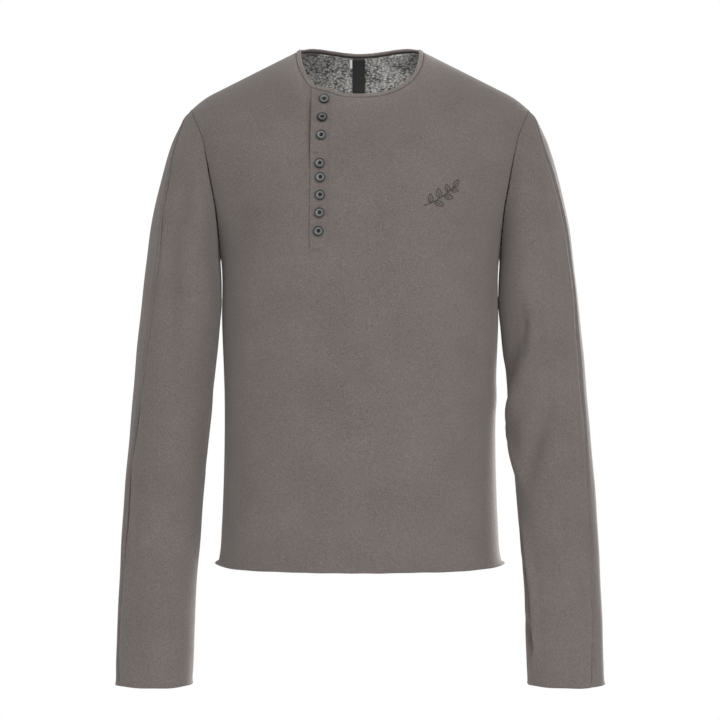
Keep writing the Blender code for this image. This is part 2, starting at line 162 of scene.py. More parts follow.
def new_group(
    name: str, inputs: dict[str, float], outputs: dict[str, str]
) -> tuple[Shader, bpy.types.NodeTree]:
    """Make an empty shader node group with named inputs and outputs.

    Args:
        name: the group's name.
        inputs: number inputs and their first values.
        outputs: output names and their socket types.

    Returns:
        The group's shader helper and its tree.
    """
    tree = bpy.data.node_groups.new(name, "ShaderNodeTree")
    for label, value in inputs.items():
        socket = tree.interface.new_socket(label, in_out="INPUT", socket_type="NodeSocketFloat")
        socket.default_value = value
    for label, kind in outputs.items():
        tree.interface.new_socket(label, in_out="OUTPUT", socket_type=kind)
    return Shader(tree), tree


class ShaderGroups:
    """The effects that several finishes share, each built once."""

    def __init__(self) -> None:
        """Build the knit and heather groups."""
        self.knit = self._knit()
        self.heather = self._heather()

    @staticmethod
    def _knit() -> bpy.types.NodeTree:
        """Columns of V-shaped stitches on the cloth's own UV map, which is in metres."""
        shader, tree = new_group(
            "knit",
            {"Wale": 0.0011, "Course": 0.0009},
            {"Height": "NodeSocketFloat", "Shade": "NodeSocketFloat"},
        )
        given = tree.nodes.new("NodeGroupInput")
        uv = shader.node("SeparateXYZ", Vector=shader.node("TexCoord").outputs["UV"])
        wander = shader.node("TexNoise", Vector=shader.node("TexCoord").outputs["Object"], Scale=70.0)
        drift = shader.math("MULTIPLY", wander.outputs[0], 0.0012)
        across = shader.math("DIVIDE", shader.math("ADD", uv.outputs[0], drift), given.outputs["Wale"])
        along = shader.math("DIVIDE", uv.outputs[1], given.outputs["Course"])
        within = shader.math("FRACT", across)
        fold = shader.math("ABSOLUTE", shader.math("SUBTRACT", within, 0.5))
        leg = shader.math("SINE", shader.math("MULTIPLY", shader.math("ADD", along, fold), math.tau))
        column = shader.math("SINE", shader.math("MULTIPLY", within, math.pi))
        height = shader.math("MULTIPLY_ADD", leg, 0.3, column)
        shade = shader.math("MULTIPLY_ADD", column, 0.6, shader.math("MULTIPLY", leg, 0.2))
        out = tree.nodes.new("NodeGroupOutput")
        tree.links.new(height, out.inputs["Height"])
        tree.links.new(shade, out.inputs["Shade"])
        return tree

    @staticmethod
    def _heather() -> bpy.types.NodeTree:
        """Uneven flecks of lighter and darker fibre, with slow drifts of tone."""
        shader, tree = new_group(
            "heather",
            {"Fleck Size": 0.0016, "Drift Size": 0.060},
            {"Fleck": "NodeSocketFloat", "Drift": "NodeSocketFloat"},
        )
        given = tree.nodes.new("NodeGroupInput")
        place = shader.node("TexCoord").outputs["Object"]
        fine = shader.math("DIVIDE", 1.0, given.outputs["Fleck Size"])
        broad = shader.math("DIVIDE", 1.0, given.outputs["Drift Size"])
        fleck = shader.node("TexNoise", Vector=place, Scale=fine, Detail=3.0, Roughness=0.7)
        drift = shader.node("TexNoise", Vector=place, Scale=broad, Detail=2.0, Roughness=0.5)
        out = tree.nodes.new("NodeGroupOutput")
        tree.links.new(fleck.outputs[0], out.inputs["Fleck"])
        tree.links.new(drift.outputs[0], out.inputs["Drift"])
        return tree


def start_material(name: str, roughness: float) -> tuple[bpy.types.Material, Shader, bpy.types.Node]:
    """Make a node material with only its Principled shader.

    Args:
        name: the material's name.
        roughness: the shader's roughness.

    Returns:
        The material, its shader helper and its Principled node.
    """
    material = bpy.data.materials.new(name)
    material.use_nodes = True
    principled = material.node_tree.nodes["Principled BSDF"]
    principled.inputs["Roughness"].default_value = roughness
    return material, Shader(material.node_tree), principled


def place_group(shader: Shader, group: bpy.types.NodeTree, **values: object) -> bpy.types.Node:
    """Put a shared group into a material.

    Args:
        shader: the material's helper.
        group: the group's tree.
        values: the inputs to set, by name with _ for a blank.

    Returns:
        The group's node.
    """
    made = shader.tree.nodes.new("ShaderNodeGroup")
    made.node_tree = group
    for name, value in values.items():
        made.inputs[name.replace("_", " ")].default_value = value
    return made


@dataclass(frozen=True)
class JerseyFinish:
    """Smooth outer face of the knit: heathered colour, fine columns of stitches, a soft sheen."""

    name: str = "jersey"
    colour: Colour = (0.139, 0.1195, 0.1125)
    light: Colour = (0.215, 0.188, 0.178)
    dark: Colour = (0.082, 0.0685, 0.064)
    wale: float = 0.0011
    course: float = 0.0009
    bump: float = 0.25

    def build(self, groups: ShaderGroups) -> bpy.types.Material:
        """Build the material.

        Args:
            groups: the shared shader groups.

        Returns:
            The material.
        """
        material, shader, principled = start_material(self.name, 0.95)
        knit = place_group(shader, groups.knit, Wale=self.wale, Course=self.course)
        heather = place_group(shader, groups.heather)
        fleck = shader.math("MULTIPLY_ADD", heather.outputs["Fleck"], 1.15, -0.075)
        tone = shader.math("MULTIPLY_ADD", heather.outputs["Drift"], 0.22, -0.11)
        tone = shader.math("ADD", fleck, tone)
        tone = shader.math("ADD", tone, shader.math("MULTIPLY_ADD", knit.outputs["Shade"], 0.10, -0.04))
        colour = shader.ramp(tone, [(0.12, self.dark), (0.5, self.colour), (0.88, self.light)])
        rough = shader.math("MULTIPLY_ADD", heather.outputs["Fleck"], -0.12, 0.98)
        height = shader.math("MULTIPLY_ADD", heather.outputs["Fleck"], 0.8, knit.outputs["Height"])
        bump = shader.node("Bump", Strength=self.bump, Distance=0.0004, Height=height)
        links = shader.tree.links
        links.new(colour, principled.inputs["Base Color"])
        links.new(rough, principled.inputs["Roughness"])
        links.new(bump.outputs[0], principled.inputs["Normal"])
        principled.inputs["Sheen Weight"].default_value = 0.25
        principled.inputs["Sheen Roughness"].default_value = 0.55
        principled.inputs["Sheen Tint"].default_value = (0.9, 0.86, 0.83, 1.0)
        principled.inputs["Specular IOR Level"].default_value = 0.25
        return material


@dataclass(frozen=True)
class TerryFinish:
    """Looped inner face of the knit: pale loops in slanting rows, with painted shade in the dark gaps between
    them and a painted highlight on the loop tops.
    """

    name: str = "terry"
    # gap is painted shade between the loops; tip is partly the marled yarn and partly a painted highlight on
    # the loop tops
    gap: Colour = (0.035, 0.033, 0.030)
    loop: Colour = (0.26, 0.255, 0.245)
    tip: Colour = (0.60, 0.59, 0.575)
    loop_size: float = 0.0030

    def build(self, groups: ShaderGroups) -> bpy.types.Material:
        """Build the material.

        Args:
            groups: the shared shader groups.

        Returns:
            The material.
        """
        material, shader, principled = start_material(self.name, 1.0)
        place = shader.node("TexCoord").outputs["Object"]
        turned = shader.node("Mapping", Vector=place)
        turned.inputs["Rotation"].default_value = (0.0, math.radians(14), 0.0)
        turned.inputs["Scale"].default_value = (0.7, 0.35, 1.25)
        cells = shader.node("TexVoronoi", Vector=turned.outputs[0], Scale=1 / self.loop_size, Randomness=0.8)
        heather = place_group(shader, groups.heather, Fleck_Size=0.0022, Drift_Size=0.025)
        near = shader.math("MULTIPLY_ADD", cells.outputs["Distance"], -0.75, 0.78)
        tone = shader.math("ADD", near, shader.math("MULTIPLY_ADD", heather.outputs["Fleck"], 1.3, -0.65))
        tone = shader.math("ADD", tone, shader.math("MULTIPLY_ADD", heather.outputs["Drift"], 0.7, -0.35))
        # painted shade and highlight: the ramp runs from shade in the gaps, through the loops' own colour, to
        # light on their tops, with random marl from the heather
        colour = shader.ramp(tone, [(0.12, self.gap), (0.48, self.loop), (0.95, self.tip)])
        bump = shader.node("Bump", Strength=0.8, Distance=0.0012, Height=tone)
        shader.tree.links.new(colour, principled.inputs["Base Color"])
        shader.tree.links.new(bump.outputs[0], principled.inputs["Normal"])
        principled.inputs["Sheen Weight"].default_value = 0.2
        principled.inputs["Specular IOR Level"].default_value = 0.2
        return material


@dataclass(frozen=True)
class WovenFinish:
    """A close satin weave, for the neck label and the size tab, with painted shade in the weave's dips."""

    name: str
    colour: Colour
    pitch: float = 0.0005

    def build(self) -> bpy.types.Material:
        """Build the material and return it."""
        material, shader, principled = start_material(self.name, 0.7)
        uv = shader.node("SeparateXYZ", Vector=shader.node("TexCoord").outputs["UV"])
        across = shader.math("SINE", shader.math("MULTIPLY", uv.outputs[0], math.tau / self.pitch))
        down = shader.math("SINE", shader.math("MULTIPLY", uv.outputs[1], math.tau / self.pitch))
        weave = shader.math("MULTIPLY", across, down)
        # painted shade: the colour is paler where the weave rises and darker in its dips
        pale = tuple(min(1.0, 1.25 * c + 0.004) for c in self.colour)
        share = shader.math("MULTIPLY_ADD", weave, 0.5, 0.5)
        colour = shader.mix(share, (*self.colour, 1.0), (*pale, 1.0))
        bump = shader.node("Bump", Strength=0.3, Distance=0.0002, Height=weave)
        shader.tree.links.new(colour, principled.inputs["Base Color"])
        shader.tree.links.new(bump.outputs[0], principled.inputs["Normal"])
        principled.inputs["Sheen Weight"].default_value = 0.1
        return material


@dataclass(frozen=True)
class ThreadFinish:
    """Twisted sewing or embroidery thread, with painted shade in the grooves of its twist; the twist follows
    the thread's own UV map.
    """

    name: str
    colour: Colour
    twist: float = 0.0014
    roughness: float = 0.6

    def build(self) -> bpy.types.Material:
        """Build the material and return it."""
        material, shader, principled = start_material(self.name, self.roughness)
        uv = shader.node("SeparateXYZ", Vector=shader.node("TexCoord").outputs["UV"])
        turn = shader.math("MULTIPLY_ADD", uv.outputs[1], math.tau / self.twist, uv.outputs[0])
        ply = shader.math("MULTIPLY_ADD", shader.math("SINE", turn), 0.5, 0.5)
        # painted shade: the grooves between the plies are darkened to 0.55 of the thread's colour
        dark = tuple(0.55 * c for c in self.colour)
        colour = shader.mix(ply, (*dark, 1.0), (*self.colour, 1.0))
        bump = shader.node("Bump", Strength=0.6, Distance=0.0002, Height=ply)
        shader.tree.links.new(colour, principled.inputs["Base Color"])
        shader.tree.links.new(bump.outputs[0], principled.inputs["Normal"])
        principled.inputs["Sheen Weight"].default_value = 0.15
        return material


@dataclass(frozen=True)
class HornFinish:
    """Dark polished horn-like resin with faint cloudy streaks."""

    name: str
    colour: Colour
    streak: Colour
    roughness: float

    def build(self) -> bpy.types.Material:
        """Build the material and return it."""
        material, shader, principled = start_material(self.name, self.roughness)
        place = shader.node("TexCoord").outputs["Object"]
        cloud = shader.node("TexNoise", Vector=place, Scale=420.0, Detail=3.0, Roughness=0.6)
        colour = shader.ramp(cloud.outputs[0], [(0.35, self.colour), (0.72, self.streak)])
        rough = shader.math("MULTIPLY_ADD", cloud.outputs[0], 0.12, self.roughness - 0.06)
        shader.tree.links.new(colour, principled.inputs["Base Color"])
        shader.tree.links.new(rough, principled.inputs["Roughness"])
        principled.inputs["Coat Weight"].default_value = 0.2
        return material


@dataclass(frozen=True)
class PaperFinish:
    """A plain pale surface with a barely visible mottle, for the floor."""

    name: str = "floor"
    colour: Colour = (0.86, 0.86, 0.86)

    def build(self) -> bpy.types.Material:
        """Build the material and return it."""
        material, shader, principled = start_material(self.name, 0.9)
        place = shader.node("TexCoord").outputs["Object"]
        mottle = shader.node("TexNoise", Vector=place, Scale=3.0, Detail=2.0)
        pale = tuple(min(1.0, c + 0.02) for c in self.colour)
        colour = shader.mix(mottle.outputs[0], (*self.colour, 1.0), (*pale, 1.0))
        shader.tree.links.new(colour, principled.inputs["Base Color"])
        return material


# ---------------------------------------------------------------- numbers and grids


def unit(vectors: np.ndarray) -> np.ndarray:
    """Return the same directions, each one long."""
    return vectors / np.maximum(np.linalg.norm(vectors, axis=-1, keepdims=True), 1e-12)


def curve_through(keys: np.ndarray, values: np.ndarray, at: np.ndarray) -> np.ndarray:
    """Read places on a smooth curve.

    Args:
        keys: rising places of the curve's own points.
        values: their values.
        at: the places wanted.

    Returns:
        The curve's values there.
    """
    slopes = np.gradient(values, keys)
    i = np.clip(np.searchsorted(keys, at) - 1, 0, len(keys) - 2)
    step = keys[i + 1] - keys[i]
    s = np.clip((at - keys[i]) / step, 0.0, 1.0)
    ease = s * s * (3 - 2 * s)
    bend = s * (1 - s) ** 2 * step * slopes[i] + s * s * (s - 1) * step * slopes[i + 1]
    return values[i] + (values[i + 1] - values[i]) * ease + bend


def bell(distance: np.ndarray, width: float) -> np.ndarray:
    """A smooth bump that is 1 at no distance and nearly 0 at twice the width."""
    return np.exp(-((distance / width) ** 2))


def ripple(*terms: tuple[np.ndarray, float, float]) -> np.ndarray:
    """Add up sine waves.

    Args:
        terms: for each wave its coordinate, its wavelength and its start in turns.

    Returns:
        Their mean, from -1 to 1.
    """
    return sum(np.sin(math.tau * (at / length + start)) for at, length, start in terms) / len(terms)


def grid_normals(grid: np.ndarray, wrap: bool = False) -> np.ndarray:
    """Directions square to a grid of points.

    Args:
        grid: rows of points.
        wrap: whether each row closes on itself.

    Returns:
        One unit direction for each point, all on the same side of the grid.
    """
    along = np.roll(grid, -1, axis=1) - np.roll(grid, 1, axis=1) if wrap else np.gradient(grid, axis=1)
    return unit(np.cross(np.gradient(grid, axis=0), along))


def run_lengths(grid: np.ndarray, axis: int) -> np.ndarray:
    """Distance run along a grid from its first row or column to each point."""
    steps = np.linalg.norm(np.diff(grid, axis=axis), axis=-1)
    total = np.cumsum(steps, axis=axis)
    return np.insert(total, 0, 0.0, axis=axis)


# ---------------------------------------------------------------- making pieces


class Maker:
    """Turns grids and tubes into finished pieces of the shirt."""

    @staticmethod
    def piece(
        name: str, mesh: bpy.types.Mesh, slot: str, materials: list[bpy.types.Material]
    ) -> bpy.types.Object:
        """Link a mesh as a piece that rides on the shirt.

        Args:
            name: the piece's name.
            mesh: its mesh, in place.
            slot: not used.
            materials: its materials, in the order of its faces' indices.

        Returns:
            The new object.
        """
        for material in materials:
            mesh.materials.append(material)
        mesh.shade_smooth()
        thing = bpy.data.objects.new(name, mesh)
        bpy.context.scene.collection.objects.link(thing)
        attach(thing, "root")
        return thing

    @staticmethod
    def wall(name: str, outer: np.ndarray, inner: np.ndarray, uv: np.ndarray) -> bpy.types.Mesh:
        """A closed wall between two grids; outer faces use material 0, all others material 1.

        Args:
            name: the mesh's name.
            outer: rows of points on the outer face.
            inner: rows of points on the inner face.
            uv: a flat place in metres for each point.

        Returns:
            The mesh, with its faces pointing out.
        """
        rows, columns = outer.shape[:2]
        count = rows * columns
        index = np.arange(count).reshape(rows, columns)
        corners = (index[:-1, :-1], index[:-1, 1:], index[1:, 1:], index[1:, :-1])
        cells = np.stack(corners, axis=-1).reshape(-1, 4)
        loop = np.concatenate((index[0, :-1], index[:-1, -1], index[-1, :0:-1], index[:0:-1, 0]))
        following = np.roll(loop, -1)
        rim = np.stack((following, loop, loop + count, following + count), axis=-1)
        faces = np.concatenate((cells, cells[:, ::-1] + count, rim))
        points = np.concatenate((outer.reshape(-1, 3), inner.reshape(-1, 3)))
        mesh = bpy.data.meshes.new(name)
        mesh.from_pydata(points.tolist(), [], faces.tolist())
        mesh.polygons.foreach_set("material_index", np.repeat((0, 1, 0), (len(cells), len(cells), len(rim))))
        layer = mesh.uv_layers.new(name="flat")
        flat = np.concatenate((uv.reshape(-1, 2), uv.reshape(-1, 2)))
        layer.uv.foreach_set("vector", flat[faces.reshape(-1)].reshape(-1).astype(np.float32))
        if np.sum(grid_normals(outer) * (outer - inner)) > 0:
            mesh.flip_normals()
        mesh.update()
        return mesh

    @staticmethod
    def tube(path: np.ndarray, radius: float, sides: int = 6) -> tuple[np.ndarray, list, list]:
        """Points, faces and flat places of a round closed tube with rounded ends.

        Args:
            path: the points that its middle follows.
            radius: its radius.
            sides: how many flats it has.

        Returns:
            Its points, its faces and a flat place for each point.
        """
        heading = unit(np.gradient(path, axis=0))
        aside = unit(np.cross(heading, (0.03, 0.9, 0.1)))
        above = np.cross(heading, aside)
        turns = np.linspace(0.0, math.tau, sides, endpoint=False)
        size = np.full(len(path), radius)
        size[[0, -1]] *= 0.35
        ring = aside[:, None] * np.cos(turns)[None, :, None] + above[:, None] * np.sin(turns)[None, :, None]
        points = (path[:, None] + ring * size[:, None, None]).reshape(-1, 3)
        faces = []
        for i in range(len(path) - 1):
            for j in range(sides):
                k = (j + 1) % sides
                faces.append((i * sides + j, i * sides + k, (i + 1) * sides + k, (i + 1) * sides + j))
        faces.append(tuple(range(sides))[::-1])
        faces.append(tuple(range((len(path) - 1) * sides, len(path) * sides)))
        length = run_lengths(path[:, None], 0)[:, 0]
        flat = [(turn, run) for run in length for turn in turns]
        return points, faces, flat

    @staticmethod
    def joined(name: str, parts: list[tuple[np.ndarray, list, list]]) -> bpy.types.Mesh:
        """One mesh of several tubes.

        Args:
            name: the mesh's name.
            parts: the points, faces and flat places of each tube.

        Returns:
            The mesh, with its faces pointing out.
        """
        points, faces, flat = [], [], []
        for part_points, part_faces, part_flat in parts:
            start = len(points)
            points.extend(part_points.tolist())
            flat.extend(part_flat)
            faces.extend(tuple(start + i for i in face) for face in part_faces)
        mesh = bpy.data.meshes.new(name)
        mesh.from_pydata(points, [], faces)
        layer = mesh.uv_layers.new(name="flat")
        for polygon in mesh.polygons:
            for corner in polygon.loop_indices:
                layer.uv[corner].vector = flat[mesh.loops[corner].vertex_index]
        model = bmesh.new()
        model.from_mesh(mesh)
        bmesh.ops.recalc_face_normals(model, faces=model.faces)
        model.to_mesh(mesh)
        model.free()
        return mesh


# ---------------------------------------------------------------- the shirt's form


@dataclass(frozen=True)
class Level:
    """A level of the body: its height, half-width and depths to the front and back."""

    z: float
    side: float
    front: float
    back: float


@dataclass(frozen=True)
class Ring:
    """A ring of a sleeve: its outermost and innermost points, half its depth from front to back,
    and how many degrees the overarm seam lies in front of the outermost point on each arm."""

    outer: tuple[float, float, float]
    inner: tuple[float, float, float]
    half_depth: float
    right_seam: float
    left_seam: float


@dataclass(frozen=True)
class Crease:
    """A soft trough (depth above 0) or ridge (below 0) in a sleeve.

    Its path is given by angles in degrees from the sleeve's outermost line, round by the front,
    and by heights. One side can be steeper than the other.
    """

    angles: tuple[float, ...]
    heights: tuple[float, ...]
    depth: float
    width: float
    lean: float = 0.0


BODY = (
    Level(-0.668, 0.1840, 0.112, 0.105),
    Level(-0.650, 0.1810, 0.111, 0.105),
    Level(-0.620, 0.1791, 0.110, 0.104),
    Level(-0.533, 0.1760, 0.108, 0.103),
    Level(-0.454, 0.1757, 0.108, 0.102),
    Level(-0.357, 0.1790, 0.111, 0.104),
    Level(-0.268, 0.1810, 0.116, 0.108),
    Level(-0.238, 0.1870, 0.117, 0.109),
    Level(-0.209, 0.1975, 0.117, 0.110),
    Level(-0.170, 0.2125, 0.117, 0.111),
    Level(-0.120, 0.2260, 0.116, 0.111),
    Level(-0.078, 0.2350, 0.115, 0.110),
    Level(0.040, 0.2420, 0.112, 0.108),
)
ARMHOLE = (
    (0.1810, -0.268),
    (0.1820, -0.238),
    (0.1840, -0.209),
    (0.1885, -0.182),
    (0.1955, -0.145),
    (0.2035, -0.113),
    (0.2117, -0.095),
    (0.2187, -0.078),
)
SLEEVE = (
    Ring((0.2187, 0.000, -0.0780), (0.1810, 0.000, -0.2680), 0.0580, 0, 0),
    Ring((0.2275, 0.000, -0.0884), (0.1812, -0.006, -0.2765), 0.0620, 13, 16),
    Ring((0.2335, 0.000, -0.0988), (0.1808, -0.009, -0.2820), 0.0645, 22, 27),
    Ring((0.2444, 0.000, -0.1235), (0.1797, -0.012, -0.2920), 0.0665, 33, 37),
    Ring((0.2556, -0.001, -0.1625), (0.1790, -0.014, -0.3040), 0.0665, 41, 35),
    Ring((0.2649, -0.003, -0.2015), (0.1786, -0.015, -0.3180), 0.0650, 45, 33),
    Ring((0.2732, -0.005, -0.2480), (0.1784, -0.016, -0.3360), 0.0625, 51, 32),
    Ring((0.2806, -0.008, -0.3140), (0.1820, -0.016, -0.3720), 0.0590, 51, 30),
    Ring((0.2884, -0.012, -0.3945), (0.1868, -0.017, -0.4200), 0.0550, 47, 35),
    Ring((0.2959, -0.016, -0.4850), (0.1934, -0.019, -0.4950), 0.0510, 39, 37),
    Ring((0.3019, -0.021, -0.5620), (0.2003, -0.022, -0.5650), 0.0470, 30, 42),
    Ring((0.3063, -0.026, -0.6320), (0.2050, -0.026, -0.6320), 0.0440, 28, 45),
    Ring((0.3093, -0.031, -0.7050), (0.2102, -0.031, -0.7050), 0.0410, 26, 46),
    Ring((0.3110, -0.035, -0.7700), (0.2122, -0.035, -0.7700), 0.0395, 20, 48),
    Ring((0.3120, -0.038, -0.8170), (0.2147, -0.038, -0.8170), 0.0390, 29, 53),
)
CREASES = {
    Arm.RIGHT: (
        Crease((66, 72, 84, 92), (-0.165, -0.26, -0.35, -0.43), 0.0045, 0.013),
        Crease((56, 70, 88), (-0.165, -0.195, -0.23), 0.0030, 0.011),
        Crease((30, 34, 50, 74), (-0.56, -0.62, -0.69, -0.80), 0.0022, 0.012),
        Crease((40, 36, 30), (-0.468, -0.49, -0.52), 0.0016, 0.004),
    ),
    Arm.LEFT: (
        Crease((186, 160, 134, 114), (-0.495, -0.462, -0.428, -0.380), -0.0050, 0.012),
        Crease((168, 146, 126), (-0.435, -0.395, -0.345), 0.0060, 0.017),
        Crease((136, 118, 100, 88), (-0.545, -0.505, -0.475, -0.425), 0.0060, 0.013),
        Crease((92, 97, 101), (-0.315, -0.355, -0.395), 0.0022, 0.008),
        Crease((118, 123, 125), (-0.345, -0.37, -0.40), 0.0022, 0.007),
        Crease((186, 172, 152), (-0.495, -0.520, -0.560), -0.0040, 0.010),
        Crease((96, 88, 76, 62), (-0.630, -0.665, -0.700, -0.722), -0.0035, 0.010),
        Crease((80, 68, 56), (-0.655, -0.680, -0.705), 0.0028, 0.014),
        Crease((158, 148, 143, 141), (-0.610, -0.665, -0.725, -0.790), -0.0040, 0.007),
        Crease((172, 166, 160), (-0.625, -0.70, -0.78), 0.0045, 0.011),
        Crease((184, 170, 154), (-0.660, -0.680, -0.694), 0.0025, 0.006),
        Crease((184, 166, 148), (-0.735, -0.755, -0.775), 0.0025, 0.006),
        Crease((26, 31, 37, 40), (-0.47, -0.54, -0.63, -0.70), -0.0035, 0.008),
    ),
}


class BodyForm:
    """The outside of the front and back, as depths over places seen from the front."""

    neck_x = 0.0825
    neck_top_x = 0.0757
    neck_front_z = -0.0735
    neck_back_y = 0.0520
    neck_power = 2.35
    slope = 0.5
    round_x = 0.190
    round_drop = 0.0065
    crown = {Face.FRONT: -0.010, Face.BACK: 0.0253}
    crown_power = 2
    neck_back_power = 1.5
    round_z = -0.200
    round_power = {Face.FRONT: 1.8, Face.BACK: 2.0}
    section_power = 2.3

    def __init__(self) -> None:
        """Read the tables into arrays."""
        self.heights = np.array([level.z for level in BODY])
        self.sizes = {
            key: np.array([getattr(level, key) for level in BODY]) for key in ("side", "front", "back")
        }
        self.arm_x, self.arm_z = np.array(ARMHOLE).T
        self.tip = np.array(ARMHOLE[-1])

    def size(self, z: np.ndarray, key: str) -> np.ndarray:
        """One size of the body at the given heights."""
        return curve_through(self.heights, self.sizes[key], z)

    def armhole_x(self, z: np.ndarray) -> np.ndarray:
        """How far from the middle the armhole lies at the given heights."""
        return curve_through(self.arm_z, self.arm_x, z)

    def ridge(self, x: np.ndarray, face: Face) -> np.ndarray:
        """Height of the shoulder line, carried on across the neck as the crown."""
        out = np.abs(x)
        across = self.crown[face] * (1 - np.minimum(out / self.neck_top_x, 1.0) ** self.crown_power)
        past = np.maximum(0.0, out - self.round_x) / (self.tip[0] - self.round_x)
        return across - self.slope * np.maximum(0.0, out - self.neck_top_x) - self.round_drop * past**2

    def depth(self, x: np.ndarray, z: np.ndarray, face: Face) -> np.ndarray:
        """Where the outside lies.

        Args:
            x: places across.
            z: heights.
            face: the panel.

        Returns:
            The Y of each place.
        """
        deep = self.size(z, "front" if face is Face.FRONT else "back")
        n, p = self.section_power, self.round_power[face]
        across = np.maximum(0.0, 1 - (np.abs(x) / self.size(z, "side")) ** n) ** (1 / n)
        rise = np.clip((z - self.round_z) / (self.ridge(x, face) - self.round_z), 0.0, 1.0)
        return face.value * np.maximum(deep * across * (1 - rise**p) ** (1 / p), SEAM / 2)

    def neckline(self, share: np.ndarray, face: Face) -> np.ndarray:
        """Places (x, z) of the neck seam, from the middle (0) to the shoulder (1)."""
        top = float(self.ridge(np.array(self.neck_x), face))
        if face is Face.FRONT:
            turn = np.pi / 2 * np.sin(np.pi / 2 * share)
            drop = (top - self.neck_front_z) * np.maximum(np.cos(turn), 0.0) ** (2 / self.neck_power)
            return np.stack((self.neck_x * np.sin(turn) ** (2 / self.neck_power), top - drop), axis=-1)
        x = self.neck_x * np.sin(np.pi / 2 * share)
        y = self.neck_back_y * np.maximum(np.cos(np.pi / 2 * share), 0.0) ** self.neck_back_power
        n, p = self.section_power, self.round_power[face]
        level = np.zeros_like(x)
        across = (1 - (x / self.size(level, "side")) ** n) ** (1 / n)
        rise = (1 - (y / (self.size(level, "back") * across)) ** p) ** (1 / p)
        return np.stack((x, self.round_z + rise * (self.ridge(x, face) - self.round_z)), axis=-1)

    def armhole_z(self, turn: np.ndarray) -> np.ndarray:
        """Height of the armhole's points at angles round the sleeve, 0 at the shoulder."""
        top, foot = self.arm_z[-1], self.arm_z[0]
        return (top + foot) / 2 + (top - foot) / 2 * np.cos(turn)


